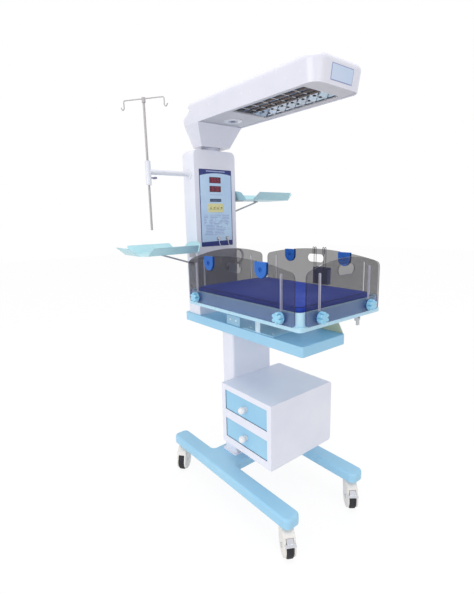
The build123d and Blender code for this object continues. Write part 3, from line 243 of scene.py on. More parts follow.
tree.links.new(grain, made.inputs["Height"])
tree.links.new(edge_normal, made.inputs["Edge Normal"])


def skin(name, colour, cloud_colour, edge_highlight_colour=None, roughness=0.4, spread=0.12, grain=700.0,
         depth=0.00004, edge_radius=0.0015, edge_highlight_share=0.4, cloud_scale=4.0, metallic=0.0, coat=0.0):
    finish, tree, shader = bare_finish(name)
    group = tree.nodes.new("ShaderNodeGroup")
    group.node_tree = skin_group
    for label, value in (
        ("Color", chip(colour)), ("Cloud Color", chip(cloud_colour)),
        ("Edge Highlight Color", chip(edge_highlight_colour or colour)), ("Cloud Scale", cloud_scale), ("Grain Scale", grain),
        ("Roughness", roughness), ("Roughness Spread", spread), ("Edge Radius", edge_radius),
        ("Edge Highlight Share", edge_highlight_share),
    ):
        group.inputs[label].default_value = value
    tree.links.new(group.outputs["Color"], shader.inputs["Base Color"])
    tree.links.new(group.outputs["Roughness"], shader.inputs["Roughness"])
    bump = add(
        tree, "Bump", Distance=depth, Height=group.outputs["Height"], Normal=group.outputs["Edge Normal"]
    )
    tree.links.new(bump.outputs[0], shader.inputs["Normal"])
    shader.inputs["Metallic"].default_value = metallic
    shader.inputs["Coat Weight"].default_value = coat
    shader.inputs["Coat Roughness"].default_value = 0.08
    return finish


def dress(node, *finishes, pick=None):
    data = nodes[node].data
    data.materials.clear()
    for finish in finishes:
        data.materials.append(finish)
    for face in data.polygons:
        face.material_index = pick(face.center) if pick else 0


def soften(node, width, segments=2, angle=40):
    weld = nodes[node].modifiers.new("weld", "WELD")
    weld.merge_threshold = 0.00002
    bevel = nodes[node].modifiers.new("soft_edges", "BEVEL")
    bevel.width = width
    bevel.segments = segments
    bevel.limit_method = "ANGLE"
    bevel.angle_limit = radians(angle)
    bevel.harden_normals = False


sky_paint = skin("sky_paint", "A9D8F2", "9CD0EF", "C4E8FA", roughness=0.42, grain=420, depth=0.00006)
dress("base_frame", sky_paint)


def finished_mesh(name, shape, finishes, body):
    mesh = bpy.data.meshes.new(name)
    shape.to_mesh(mesh)
    shape.free()
    piece = placed(name, mesh)
    for finish in finishes:
        mesh.materials.append(finish)
    mesh.polygons.foreach_set("use_smooth", [True] * len(mesh.polygons))
    mesh.set_sharp_from_angle(angle=radians(35))
    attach(piece, body)
    return piece


def facing_matrix(place, way):
    way = Vector(way).normalized()
    return Matrix.Translation(place) @ way.to_track_quat("Z", "Y").to_matrix().to_4x4()


def turned(shape, profile, placing, steps=32, finish=0):
    rings = []
    for radius, along in profile:
        if radius < 1e-7:
            rings.append([shape.verts.new(placing @ Vector((0, 0, along)))])
            continue
        rings.append([
            shape.verts.new(placing @ Vector((
                radius * cos(2 * pi * step / steps), radius * sin(2 * pi * step / steps), along
            )))
            for step in range(steps)
        ])
    for before, after in zip(rings, rings[1:]):
        for step in range(steps):
            other = (step + 1) % steps
            corners = []
            for corner in (
                before[step % len(before)], before[other % len(before)],
                after[other % len(after)], after[step % len(after)],
            ):
                if corner not in corners:
                    corners.append(corner)
            if len(corners) > 2:
                shape.faces.new(corners).material_index = finish


def paint(verts, index):
    for face in {face for vert in verts for face in vert.link_faces}:
        face.material_index = index


def domed_screw(shape, place, way, radius):
    profile = [
        (0, 0.28 * radius), (0.3 * radius, 0.28 * radius), (0.42 * radius, 0.5 * radius),
        (0.7 * radius, 0.44 * radius), (0.92 * radius, 0.24 * radius), (radius, 0),
    ]
    turned(shape, profile, facing_matrix(place, way), 20)


bright_steel = skin("bright_steel", "C9CBD2", "B4B6BE", "E6E6EA", roughness=0.28, grain=900, metallic=1.0,
                    edge_highlight_share=0.3)
flange_low, flange_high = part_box("pedestal_column")
flange_thickness, flange_screw_inset = 0.005, 0.0045
flange_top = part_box("base_frame")[1].z + flange_thickness
shape = bmesh.new()
for x_side in (-1, 1):
    for y in (flange_low.y + flange_screw_inset, flange_high.y - flange_screw_inset):
        for x in (0.05, 0.1):
            domed_screw(shape, Vector((x_side * x, y, flange_top)), (0, 0, 1), 0.0038)
finished_mesh("flange_screws", shape, [bright_steel], "stand")


# Casters
# White moulded hoods on steel stems carry 100 mm wheels with black rubber tyres on grey cores.
# The two at the foot end have a pressed and chromed brake pedal over the tyre.
caster_white = skin("caster_white", "F3EFEA", "E9E4DF", "FBF8F4", roughness=0.4, grain=800)
chrome = skin("pedal_chrome", "DADBE2", "C4C6D0", "F4F4F8", roughness=0.12, spread=0.08, grain=300,
              depth=0.00002, metallic=1.0, edge_highlight_share=0.3)
tyre_rubber = skin("tyre_rubber", "26262B", "323238", "3E3E44", roughness=0.7, grain=1100, depth=0.0001)
core_grey = skin("wheel_core", "B9BABF", "A9AAB0", "D0D0D4", roughness=0.45)
caster_headings = {"front_left": -120, "front_right": -130, "rear_left": -142, "rear_right": 120}
hood_top = 0.1281
axle_cap_reach = 0.0241
rib_size, rib_middle, rib_lift = (0.018, 0.0024, 0.003), 0.0215, 0.0082
mm = 0.001


def both_faces(half):
    outline = [(radius, -along) for radius, along in half] + half[::-1]
    return [(radius * mm, along * mm) for radius, along in outline]


tyre_profile = both_faces([
    (34.0, 12.2), (36.5, 13.2), (40, 13.8), (44, 13.9), (47.2, 13.0), (49.2, 11.2), (49.95, 8.8),
    (49.95, 5.6), (49.2, 5.1), (49.2, 4.1), (49.95, 3.6),
])
core_profile = both_faces([
    (5.1, 14.8), (11.2, 14.8), (12, 14), (12.4, 9.2), (14.2, 7.2), (29.4, 6.4), (31.6, 8.4), (32.4, 12.0),
    (34.2, 12.2),
])
for name, heading in caster_headings.items():
    low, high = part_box(f"caster_wheel_{name}")
    middle = (low + high) / 2
    cross = Vector((-sin(radians(heading)), cos(radians(heading)), 0))
    axle = facing_matrix(middle, cross)
    shape = bmesh.new()
    turned(shape, tyre_profile, axle, 64, 0)
    turned(shape, core_profile, axle, 48, 1)
    for index in range(6):
        for side in (-1, 1):
            rib = bmesh.ops.create_cube(shape, size=1)["verts"]
            turn = Matrix.Rotation(index * pi / 3, 4, "Z")
            lift = Matrix.Translation((rib_middle, 0, side * rib_lift))
            placing = axle @ turn @ lift @ Matrix.Diagonal((*rib_size, 1))
            bmesh.ops.transform(shape, matrix=placing, verts=rib)
            paint(rib, 1)
    wheel = finished_mesh(f"wheel_{name}", shape, [tyre_rubber, core_grey], f"wheel_{name}")
    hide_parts(f"caster_wheel_{name}")
    dress(f"caster_hood_{name}", caster_white, bright_steel, pick=lambda spot: 1 if (
        spot.z > hood_top or abs((spot - middle).dot(cross)) > axle_cap_reach) else 0)
    if name.startswith("front"):
        dress(f"brake_pedal_{name}", chrome)
        soften(f"brake_pedal_{name}", 0.0009, 2, 50)


# Pedestal, drawer cabinet and drawers
# A folded steel column and a sheet cabinet with bent right edges, powder coated white and screwed together.
# The two drawers have sky blue fronts with turned white knobs, and slide on angle runners.
white_paint = skin("white_paint", "F0F1FB", "E8EAF7", "FAFAFF", roughness=0.4, grain=380, depth=0.00005)
dress("pedestal_column", white_paint)
box_low, box_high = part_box("drawer_cabinet")
skin_depth = 0.0016
inside_low = (-0.172, box_low.y + skin_depth, box_low.z + 0.004)
inside_high = (box_high.x - skin_depth, box_high.y - skin_depth, box_high.z - 0.03)
dress("drawer_cabinet", white_paint, bright_steel, pick=lambda spot: 1 if (
    all(inside_low[axis] < spot[axis] < inside_high[axis] for axis in range(3))) else 0)
soften("drawer_cabinet", 0.0016)
bend_round, outer_inset, inner_inset, bend_steps = 0.014, 0.00015, 0.0009, 12
bend_front, bend_back = box_low.y + skin_depth, box_high.y - skin_depth
shape = bmesh.new()
for middle_z, first_angle in ((box_high.z - bend_round, 0), (box_low.z + bend_round, -90)):
    rings = []
    for y, inset in ((bend_front, outer_inset), (bend_back, outer_inset),
                     (bend_back, inner_inset), (bend_front, inner_inset)):
        reach = bend_round - inset
        angles = [radians(first_angle + 90 * step / bend_steps) for step in range(bend_steps + 1)]
        rings.append([
            shape.verts.new((box_high.x - bend_round + reach * cos(angle), y, middle_z + reach * sin(angle)))
            for angle in angles
        ])
    for one, two in zip(rings, rings[1:] + rings[:1]):
        for step in range(bend_steps):
            shape.faces.new((one[step], one[step + 1], two[step + 1], two[step]))
    for end in (0, bend_steps):
        shape.faces.new([ring[end] for ring in rings])
bmesh.ops.recalc_face_normals(shape, faces=shape.faces)
finished_mesh("cabinet_corner_bends", shape, [white_paint], "stand")
drawer_sky = skin("drawer_sky", "A6D6F0", "96CBEB", "C0E6FA", roughness=0.4, grain=420, depth=0.00005)
knob_white = skin("drawer_knob", "F6F4F4", "ECEAEE", roughness=0.22, coat=0.4, edge_highlight_share=0)
front_x, front_thickness = -0.185, 0.0142
for level in ("upper", "lower"):
    dress(f"drawer_{level}", drawer_sky, knob_white, white_paint, pick=lambda spot: (
        1 if spot.x < front_x - 0.0002 else 2 if spot.x > front_x + front_thickness else 0))
    soften(f"drawer_{level}", 0.0016)


# Shelf platform, tilt stand and tilt frame
# A long pan of sheet steel powder coated sky blue, with the crib's pivot cheeks bolted on it.
# The frame under the crib is plated steel, with a cream guard plate on the right and a grey tilt lever.
dress("shelf_platform", sky_paint)
guard_cream = skin("guard_cream", "CDD2B8", "C2C8AC", "DCE0C8", roughness=0.5)
bracket_sky = skin("bracket_sky", "B4DFF3", "A6D6EE", "CCEBF8", roughness=0.38)
cheek_pale = skin("cheek_pale", "DCEFFA", "D0E6F4", roughness=0.4)
# The stops wear a darker copy of the sky paint, painted shade for the shade under the crib.
stop_sky_shade = skin("stop_sky_shade", "9CC6DE", "90BAD4", roughness=0.45)
crib_y = -0.10785
guard_face, cheek_face, cheek_inner, cheek_half, stop_y = 0.1237, 0.123, 0.1175, 0.0145, 0.1


def stand_finish(spot):
    if spot.x > guard_face:
        return 1
    # The stop blocks take the painted shade copy of the sky paint.
    if spot.y > crib_y + stop_y:
        return 3
    return 2 if abs(spot.y - crib_y) < cheek_half and abs(spot.x) > cheek_inner else 0


dress("tilt_stand", bracket_sky, guard_cream, cheek_pale, stop_sky_shade, pick=stand_finish)
soften("tilt_stand", 0.0012)
dress("tilt_frame", bright_steel)
lever_grey = skin("lever_grey", "C9CACC", "BCBDC0", "DADADC", roughness=0.45)
dress("tilt_lever", lever_grey)
soften("tilt_lever", 0.0015)
white_screw = skin("screw_white", "F4F6FA", "E6EAF2", roughness=0.3, edge_highlight_share=0)
shelf_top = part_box("shelf_platform")[1].z
stop_screws, foot_screws, foot_x = (0.146, 0.186), (-0.07, 0.07), 0.098
stop_screw_lift, foot_screw_lift = 0.026, 0.004
shape = bmesh.new()
for x_side in (-1, 1):
    for y in stop_screws:
        place = Vector((x_side * cheek_face, crib_y + y, shelf_top + stop_screw_lift))
        domed_screw(shape, place, (x_side, 0, 0), 0.0055)
    for y in foot_screws:
        place = Vector((x_side * foot_x, crib_y + y, shelf_top + foot_screw_lift))
        domed_screw(shape, place, (0, 0, 1), 0.0045)
finished_mesh("stand_screws", shape, [white_screw], "stand")


# Crib tray
# A moulded light blue tray with a rim flange and a low wall, ribbed below, on the tilt frame.
crib_blue = skin("crib_blue", "BDE4F6", "AEDAF2", "DDF3FC", roughness=0.3, grain=500, coat=0.25,
                 edge_highlight_share=0.5)
dress("crib_tray", crib_blue)


# Mattress
# A foam slab in a welded cover of coated royal blue cloth, with a thin raised seam round its upper edge.
# It lies loose in the tray, and the cover is a little blown up, so its top rises in a low crown.
def mattress_cloth(name, colour, cloud_colour):
    finish, tree, shader = bare_finish(name)
    spot = add(tree, "TexCoord").outputs["Object"]
    cloud = add(tree, "TexNoise", Vector=spot, Scale=7.0, Detail=5.0).outputs["Fac"]
    colour_now = mixed_colour(tree, ranged(tree, cloud, 0.35, 0.68), chip(colour), chip(cloud_colour))
    threads = []
    for axis in ("X", "Y"):
        bands = {"wave_type": "BANDS", "bands_direction": axis}
        threads.append(add(tree, "TexWave", bands, Vector=spot, Scale=260.0, Distortion=0.6).outputs["Fac"])
    weave = math(tree, "MULTIPLY", threads[0], threads[1])
    dimples = add(tree, "TexNoise", Vector=spot, Scale=45.0, Detail=4.0).outputs["Fac"]
    height = math(tree, "MULTIPLY_ADD", dimples, 4.0, weave)
    tree.links.new(mixed_colour(tree, math(tree, "MULTIPLY", weave, 0.06), colour_now, chip("4A62C0")),
                   shader.inputs["Base Color"])
    tree.links.new(ranged(tree, cloud, 0.3, 0.7, 0.5, 0.62), shader.inputs["Roughness"])
    shader.inputs["Specular IOR Level"].default_value = 0.2
    bump = add(tree, "Bump", Distance=0.00012, Strength=0.8, Height=height)
    tree.links.new(bump.outputs[0], shader.inputs["Normal"])
    return finish


cover_cloth = mattress_cloth("mattress_cloth", "1E40AC", "18369A")
pad_low, pad_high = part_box("mattress")
pad_mesh = nodes["mattress"].data.copy()
pad = placed("mattress_pad", pad_mesh)
pad_mesh.transform(Matrix.Translation(-(pad_low + pad_high) / 2))
pad_size = pad_high - pad_low
shrink, crown = 0.003, 0.010
pad_mesh.transform(Matrix.Diagonal((
    1 - 2 * shrink / pad_size.x, 1 - 2 * shrink / pad_size.y, 1 + (crown - 2 * shrink) / pad_size.z, 1
)))
pad_mesh.transform(Matrix.Translation((pad_low + pad_high) / 2 + Vector((0, 0, crown / 2))))
pad_mesh.materials.clear()


def settle(piece, modifier_name):
    bpy.ops.object.select_all(action="DESELECT")
    bpy.context.view_layer.objects.active = piece
    piece.select_set(True)
    bpy.ops.object.modifier_apply(modifier=modifier_name)


voxels = pad.modifiers.new("voxels", "REMESH")
voxels.mode = "VOXEL"
voxels.voxel_size = 0.0055
settle(pad, "voxels")
smooth = pad.modifiers.new("ease", "SMOOTH")
smooth.iterations = 6
settle(pad, "ease")
rest = [vert.co.copy() for vert in pad.data.vertices]
cloth = pad.modifiers.new("blown", "CLOTH")
cloth.settings.quality = 5
cloth.settings.mass = 0.3
cloth.settings.use_pressure = True
cloth.settings.uniform_pressure_force = 4
cloth.settings.tension_stiffness = 20
cloth.settings.compression_stiffness = 20
cloth.settings.bending_stiffness = 0.6
cloth.settings.effector_weights.gravity = 0
cloth.collision_settings.use_collision = False
cloth.point_cache.frame_start = 1
blown_frames = 20
cloth.point_cache.frame_end = blown_frames
for number in range(1, blown_frames + 1):
    bpy.context.scene.frame_set(number)
settle(pad, "blown")
furthest = 0.0045
for vert, before in zip(pad.data.vertices, rest):
    moved = vert.co - before
    if moved.length > furthest:
        vert.co = before + moved.normalized() * furthest
bpy.context.scene.frame_set(1)
wall_reach = 0.0022
for vert in pad.data.vertices:
    vert.co.x = min(max(vert.co.x, pad_low.x - wall_reach), pad_high.x + wall_reach)
    vert.co.y = min(max(vert.co.y, pad_low.y - wall_reach), pad_high.y + wall_reach)
    vert.co.z = max(vert.co.z, pad_low.z)
pad.data.materials.append(cover_cloth)
finer = pad.modifiers.new("finer", "SUBSURF")
finer.levels = 1
finer.render_levels = 1
pad.data.polygons.foreach_set("use_smooth", [True] * len(pad.data.polygons))
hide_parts("mattress")
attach(pad, "crib")


def tube(name, points, radius, finish, kind="NURBS", closed=False):
    curve = bpy.data.curves.new(name, "CURVE")
    curve.dimensions = "3D"
    curve.bevel_depth = radius
    curve.bevel_resolution = 2 if closed else 3
    curve.resolution_u = 6 if closed else 8
    curve.use_fill_caps = not closed
    spline = curve.splines.new(kind)
    spline.points.add(len(points) - 1)
    for target, point in zip(spline.points, points):
        target.co = (*point, 1)
    spline.order_u = 3
    spline.use_endpoint_u = not closed
    spline.use_cyclic_u = closed
    curve.materials.append(finish)
    return placed(name, curve)


seam_height = pad_high.z + crown - 0.0065
seam_radius, start_gap, corner, corner_steps = 0.0017, 0.02, 0.05, 6
skin_tree = BVHTree.FromObject(pad, bpy.context.evaluated_depsgraph_get())
pad_middle = (pad_low + pad_high) / 2
half_x, half_y = pad_size.x / 2 + start_gap, pad_size.y / 2 + start_gap
starts = []
for side, (x_side, y_side) in enumerate(((1, 1), (-1, 1), (-1, -1), (1, -1))):
    for step in range(corner_steps + 1):
        angle = side * pi / 2 + step * pi / (2 * corner_steps)
        starts.append(Vector((
            x_side * (half_x - corner) + corner * cos(angle),
            y_side * (half_y - corner) + corner * sin(angle), 0
        )))
    if side % 2 == 0:
        starts += [Vector((y_side * x, y_side * half_y, 0)) for x in (0.12, 0.06, 0, -0.06, -0.12)]
    else:
        starts += [Vector((x_side * half_x, -x_side * y, 0)) for y in (0.2, 0.1, 0, -0.1, -0.2)]
found = []
for point in starts:
    inward = Vector((-point.x, -point.y, 0))
    if abs(point.x) > half_x - corner and abs(point.y) <= half_y - corner:
        inward = Vector((-point.x, 0, 0))
    elif abs(point.y) > half_y - corner and abs(point.x) <= half_x - corner:
        inward = Vector((0, -point.y, 0))
    start = Vector((pad_middle.x + point.x, pad_middle.y + point.y, seam_height))
    hit = skin_tree.ray_cast(start, inward.normalized())[0]
    if hit:
        found.append(hit)
seam_cloth = mattress_cloth("seam_cloth", "18215F", "141B50")
seam = tube("mattress_seam", found, seam_radius, seam_cloth, closed=True)
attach(seam, "crib")


# Clear panels
# Four sheets of smoke tinted acrylic, polished on their edges, stand outside the tray's wall.
# The studs of the clamp knobs pass through long slots, so that each panel slides down when they are loose.
def smoke_sheet(name, opacity):
    finish, tree, shader = bare_finish(name)
    spot = add(tree, "TexCoord").outputs["Object"]
    height = add(tree, "SeparateXYZ", Vector=spot).outputs["Z"]
    streak = add(tree, "TexNoise", Vector=spot, Scale=5.0, Detail=3.0).outputs["Fac"]
    smoke = mixed_colour(tree, ranged(tree, streak, 0.3, 0.7), chip("241F2A"), chip("2B2530"))
    # Towards its foot each sheet turns bluer and denser, a painted reflection of the blue mattress behind
    # it.
    reflection_top, reflection_foot = 0.997, 0.985
    foot_reflection = ranged(tree, height, reflection_top, reflection_foot)
    tree.links.new(mixed_colour(tree, foot_reflection, smoke, chip("2A3482")), shader.inputs["Base Color"])
    shaded = add(tree, "LightPath").outputs["Is Shadow Ray"]
    clouded = ranged(tree, streak, 0.3, 0.7, opacity - 0.015, opacity + 0.015)
    clouded = math(tree, "MULTIPLY_ADD", foot_reflection, 0.07, clouded)
    alpha = math(tree, "MULTIPLY", clouded, math(tree, "MULTIPLY_ADD", shaded, -0.7, 1.0))
    tree.links.new(alpha, shader.inputs["Alpha"])
    tree.links.new(ranged(tree, streak, 0.3, 0.7, 0.05, 0.12), shader.inputs["Roughness"])
    shader.inputs["Specular IOR Level"].default_value = 0.4
    return finish


near_smoke = smoke_sheet("smoke_acrylic_near", 0.28)
far_smoke = smoke_sheet("smoke_acrylic_far", 0.44)
smoke_rim = smoke_sheet("smoke_acrylic_rim", 0.62)
# The slot edges are painted pale and opaque, a painted highlight for the light caught in their cut faces.
slot_edge_highlight = skin("slot_edge_highlight", "D8D6E2", "CAC8D6", roughness=0.2, edge_highlight_share=0)
side_slot_y, end_slot_x, slot_reach, slot_foot, sheet_mid = 0.262, 0.146, 0.0038, 0.02, 0.002
for side, finish, along in (("left", near_smoke, 1), ("right", far_smoke, 1), ("foot", near_smoke, 0),
                            ("head", far_smoke, 0)):
    low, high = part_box(f"panel_{side}")
    middle = (low + high) / 2
    slot_offset = side_slot_y if along else end_slot_x
    dress(f"panel_{side}", finish, slot_edge_highlight, smoke_rim, pick=lambda spot: 0 if (
        abs(spot[1 - along] - middle[1 - along]) > sheet_mid) else 1 if (
        abs(abs(spot[along] - middle[along]) - slot_offset) < slot_reach
        and spot.z > low.z + slot_foot) else 2)


# Tube ports
# Soft blue silicone plugs pushed into the side panels' cut outs, with a lip on each face and a slit bore.
silicone = skin("port_silicone", "1C68C4", "175BB2", "3E86D8", roughness=0.55, grain=300, depth=0.0001)
# The slits are thin dark marks on the irises, painted shade for the dark inside of the cuts.
slit_shade = skin("port_slit_shade", "0E3A78", "0C3268", roughness=0.6, edge_highlight_share=0)
port_reach = 0.031
iris_profile = [(0, 0.0012), (0.004, 0.0013), (0.0092, 0.0022)]
iris_profile += [(radius, -along) for radius, along in reversed(iris_profile)]
slit_size, slit_lift = (0.0125, 0.0005, 0.0004), 0.00135
for side, sign in (("left", -1), ("right", 1)):
    dress(f"ports_{side}", silicone)
    soften(f"ports_{side}", 0.0014, 3, 50)
    low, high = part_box(f"ports_{side}")
    shape = bmesh.new()
    for y in (low.y + port_reach, high.y - port_reach):
        placing = facing_matrix(Vector(((low.x + high.x) / 2, y, low.z + port_reach)), (sign, 0, 0))
        turned(shape, iris_profile, placing, 28, 0)
        for angle in (0, 60, 120):
            for face_side in (-1, 1):
                slit = bmesh.ops.create_cube(shape, size=1)["verts"]
                rolled = Matrix.Rotation(radians(angle), 4, "Z")
                lift = Matrix.Translation((0, 0, face_side * slit_lift))
                stretch = Matrix.Diagonal((*slit_size, 1))
                bmesh.ops.transform(shape, matrix=placing @ rolled @ lift @ stretch, verts=slit)
                paint(slit, 1)
    irises = [silicone, slit_shade]
    finished_mesh(f"port_irises_{side}", shape, irises, f"side_panel_{side}")


# Clamp knobs
# Light blue star grips moulded on steel studs, each on a dark blue disc that presses on the acrylic.
grip_blue = skin("grip_blue", "98D2EE", "88C8E8", "C8EAF8", roughness=0.34, coat=0.2)
disc_blue = skin("disc_blue", "1A4C90", "153F7C", "3A6CB0", roughness=0.4)
grip_depth, disc_depth = 0.0201, 0.0252
knob_names = [f"{side}_{end}" for side in ("left", "right") for end in ("foot", "head")]
knob_names += [f"{end}_{side}" for end in ("foot", "head") for side in ("left", "right")]
outward = {"left": Vector((-1, 0, 0)), "right": Vector((1, 0, 0)), "foot": Vector((0, -1, 0)),
           "head": Vector((0, 1, 0))}
for name in knob_names:
    way = outward[name.split("_")[0]]
    low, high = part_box(f"knob_{name}")
    outer = max(low.dot(way), high.dot(way))
    dress(f"knob_{name}", grip_blue, disc_blue, bright_steel, pick=lambda spot: 0 if (
        spot.dot(way) > outer - grip_depth) else 1 if spot.dot(way) > outer - disc_depth else 2)
    soften(f"knob_{name}", 0.0008, 2, 50)


# Document pocket on its wire hangers
# Four bent wires hook over the right panel's top edge and carry a small light blue box outside the crib.
wire_dark = skin("hanger_wire", "4A4E58", "3C4048", roughness=0.35, metallic=0.9, edge_highlight_share=0)
pocket_blue = skin("pocket_blue", "8496DE", "7888D0", "A0AEEA", roughness=0.4)
panel_low, panel_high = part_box("panel_right")
inner_x, outer_x = panel_low.x, panel_high.x
wire_radius, wire_clearance, hook_steps = 0.0013, 0.0006, 8
hook_end_drop, wire_bend_z, wire_foot_z, foot_out, wire_insets = 0.026, 1.062, 1.05, 0.003, (0.008, 0.02)
pocket_y = (-0.172, -0.087)
pocket_x = (outer_x + 0.0045, outer_x + 0.0295)
pocket_low, pocket_high, end_drop, pocket_wall, pocket_round = 1.000, 1.075, 0.01, 0.003, 0.001
hook_z = panel_high.z + 0.003
reach = wire_radius + wire_clearance
turn_middle = (inner_x + outer_x) / 2
turn_radius = (outer_x - inner_x) / 2 + reach
route = [(inner_x - reach, hook_z - hook_end_drop), (inner_x - reach, hook_z)]
for step in range(1, hook_steps):
    angle = pi * step / hook_steps
    route.append((turn_middle - turn_radius * cos(angle), hook_z + turn_radius * sin(angle)))
route += [(outer_x + reach, hook_z), (outer_x + reach, wire_bend_z)]
route.append((outer_x + reach + foot_out, wire_foot_z))
wire_places = [pocket_y[1] - inset for inset in wire_insets]
wire_places += [pocket_y[0] + inset for inset in reversed(wire_insets)]
for index, wire_y in enumerate(wire_places):
    wire = tube(f"hanger_wire_{index}", [(x, wire_y, z) for x, z in route], wire_radius, wire_dark, "POLY")
    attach(wire, "side_panel_right")


def soft_block(shape, low, high, radius, segments=2):
    verts = bmesh.ops.create_cube(shape, size=1)["verts"]
    low, high = Vector(low), Vector(high)
    placing = Matrix.Translation((low + high) / 2) @ Matrix.Diagonal((*(high - low), 1))
    bmesh.ops.transform(shape, matrix=placing, verts=verts)
    edges = list({edge for vert in verts for edge in vert.link_edges})
    bmesh.ops.bevel(shape, geom=edges, offset=radius, segments=segments, affect="EDGES", profile=0.5)


shape = bmesh.new()
for x in (pocket_x[0], pocket_x[1] - pocket_wall):
    corner = (x + pocket_wall, pocket_y[1], pocket_high)
    soft_block(shape, (x, pocket_y[0], pocket_low), corner, pocket_round)
for y in (pocket_y[0], pocket_y[1] - pocket_wall):
    corner = (pocket_x[1], y + pocket_wall, pocket_high - end_drop)
    soft_block(shape, (pocket_x[0], y, pocket_low), corner, pocket_round)
pocket_foot = (pocket_x[0], pocket_y[0], pocket_low - pocket_wall)
soft_block(shape, pocket_foot, (pocket_x[1], pocket_y[1], pocket_low), pocket_round)
finished_mesh("hanger_pocket", shape, [pocket_blue], "side_panel_right")


# Column housing and back cover
# A tall folded steel box powder coated white, with a swivel post on top and a screwed back cover.
# A thin plate of the same sheet closes the back above the cover.
post_grey = skin("post_grey", "C6C8D6", "B8BACA", roughness=0.5, edge_highlight_share=0)
post_foot, column_top = 1.6301, 1.6298
dress("column_housing", white_paint, post_grey, pick=lambda spot: 1 if spot.z > post_foot else 0)
soften("column_housing", 0.0016)
inlet_black = skin("inlet_black", "2A2A2E", "34343A", roughness=0.5)
inlet_half, inlet_low, inlet_high = 0.0241, 0.9009, 0.9291
dress("column_back_cover", white_paint, inlet_black, pick=lambda spot: 1 if (
    abs(spot.x) < inlet_half and inlet_low < spot.z < inlet_high) else 0)
cover_low, cover_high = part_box("column_back_cover")
cover_screw_x = 0.11
cover_screw_heights = [cover_low.z + lift for lift in (0.02, 0.2, 0.38, 0.56)] + [cover_high.z - 0.02]
shape = bmesh.new()
for x_side in (-1, 1):
    for z in cover_screw_heights:
        domed_screw(shape, Vector((x_side * cover_screw_x, cover_high.y, z)), (0, 1, 0), 0.0045)
finished_mesh("cover_screws", shape, [bright_steel], "stand")


def raised_plate(shape, front, back, finish=0):
    shape.faces.new(front).material_index = finish
    for first in range(len(front)):
        second = (first + 1) % len(front)
        shape.faces.new((front[first], back[first], back[second], front[second])).material_index = finish


column_half, column_round, lip_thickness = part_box("column_housing")[1].x, 0.0278, 0.0028
lip_outline = [(-column_half, cover_high.z + 0.0004), (column_half, cover_high.z + 0.0004)]
for side, first_step in ((1, 0), (-1, 8)):
    for step in range(first_step, first_step + 9):
        angle = pi * step / 16
        lip_outline.append((side * (column_half - column_round) + column_round * cos(angle),
                            column_top - column_round + column_round * sin(angle)))
shape = bmesh.new()
lip_sheets = []
for y in (cover_high.y - lip_thickness, cover_high.y):
    lip_sheets.append([shape.verts.new((x, y, z)) for x, z in lip_outline])
raised_plate(shape, *lip_sheets)
shape.faces.new(lip_sheets[1][::-1])
bmesh.ops.recalc_face_normals(shape, faces=shape.faces)
finished_mesh("cover_top_lip", shape, [white_paint], "stand")


# Control film, keypad and displays
# A printed polyester film on the housing's front, pale blue with navy bands and borders.
# Two red windows hold lit seven bar digits, a dark bar display stands below, then a yellow touch keypad.
def near(tree, value, middle, half):
    return math(tree, "LESS_THAN", math(tree, "ABSOLUTE", math(tree, "SUBTRACT", value, middle)), half)


film_low, film_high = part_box("control_overlay")
film_front = film_low.y + 0.0008
film_finish, tree, shader = bare_finish("control_film")
spot = add(tree, "TexCoord").outputs["Object"]
parts = add(tree, "SeparateXYZ", Vector=spot)
x_place, z_place = parts.outputs["X"], parts.outputs["Z"]
title_drop, title_half_tall, title_half_wide = 0.0087, 0.0023, 0.056
rows_foot, rows_head, rows_half_wide = 0.052, 0.155, 0.078
rule_lift, rule_half_tall, rule_half_wide = 0.2504, 0.0009, 0.038
bow = math(tree, "MULTIPLY", math(tree, "POWER", math(tree, "ABSOLUTE", x_place), 2.0), -1.2)
top_line = math(tree, "ADD", math(tree, "MULTIPLY_ADD", x_place, 0.03, bow), film_high.z - 0.0175)
top_band = math(tree, "GREATER_THAN", z_place, top_line)
bottom_line = math(tree, "MULTIPLY_ADD", x_place, 0.02, film_low.z + 0.024)
bottom_band = math(tree, "LESS_THAN", z_place, bottom_line)
border = math(tree, "GREATER_THAN", math(tree, "ABSOLUTE", x_place), film_high.x - 0.0035)
navy = math(tree, "MAXIMUM", math(tree, "MAXIMUM", top_band, bottom_band), border)
title = math(tree, "MULTIPLY", near(tree, x_place, 0, title_half_wide),
             near(tree, z_place, film_high.z - title_drop, title_half_tall))
navy = math(tree, "MULTIPLY", navy, math(tree, "SUBTRACT", 1.0, title))
bands = {"wave_type": "BANDS", "bands_direction": "Z"}
rows = add(tree, "TexWave", bands, Vector=spot, Scale=42.0).outputs["Fac"]
row_ends = math(tree, "GREATER_THAN", add(tree, "TexNoise", Vector=spot, Scale=38.0).outputs["Fac"], 0.45)
above_foot = math(tree, "GREATER_THAN", z_place, film_low.z + rows_foot)
below_head = math(tree, "LESS_THAN", z_place, film_low.z + rows_head)
in_rows = math(tree, "MULTIPLY", math(tree, "MULTIPLY", below_head, above_foot), row_ends)
in_rows = math(tree, "MULTIPLY", in_rows, near(tree, x_place, 0, rows_half_wide))
printed = math(tree, "MULTIPLY", math(tree, "GREATER_THAN", rows, 0.62), in_rows)
rule = math(tree, "MULTIPLY", near(tree, x_place, 0, rule_half_wide),
            near(tree, z_place, film_low.z + rule_lift, rule_half_tall))
printed = math(tree, "MAXIMUM", printed, rule)
wash = add(tree, "TexNoise", Vector=spot, Scale=9.0, Detail=3.0).outputs["Fac"]
pale = mixed_colour(tree, ranged(tree, wash, 0.35, 0.68), chip("CAE6FF"), chip("C0DCFA"))
pale = mixed_colour(tree, math(tree, "MULTIPLY", printed, 0.8), pale, chip("8C9FCC"))
pale = mixed_colour(tree, title, pale, chip("B4C0E4"))
tree.links.new(mixed_colour(tree, navy, pale, chip("22337E")), shader.inputs["Base Color"])
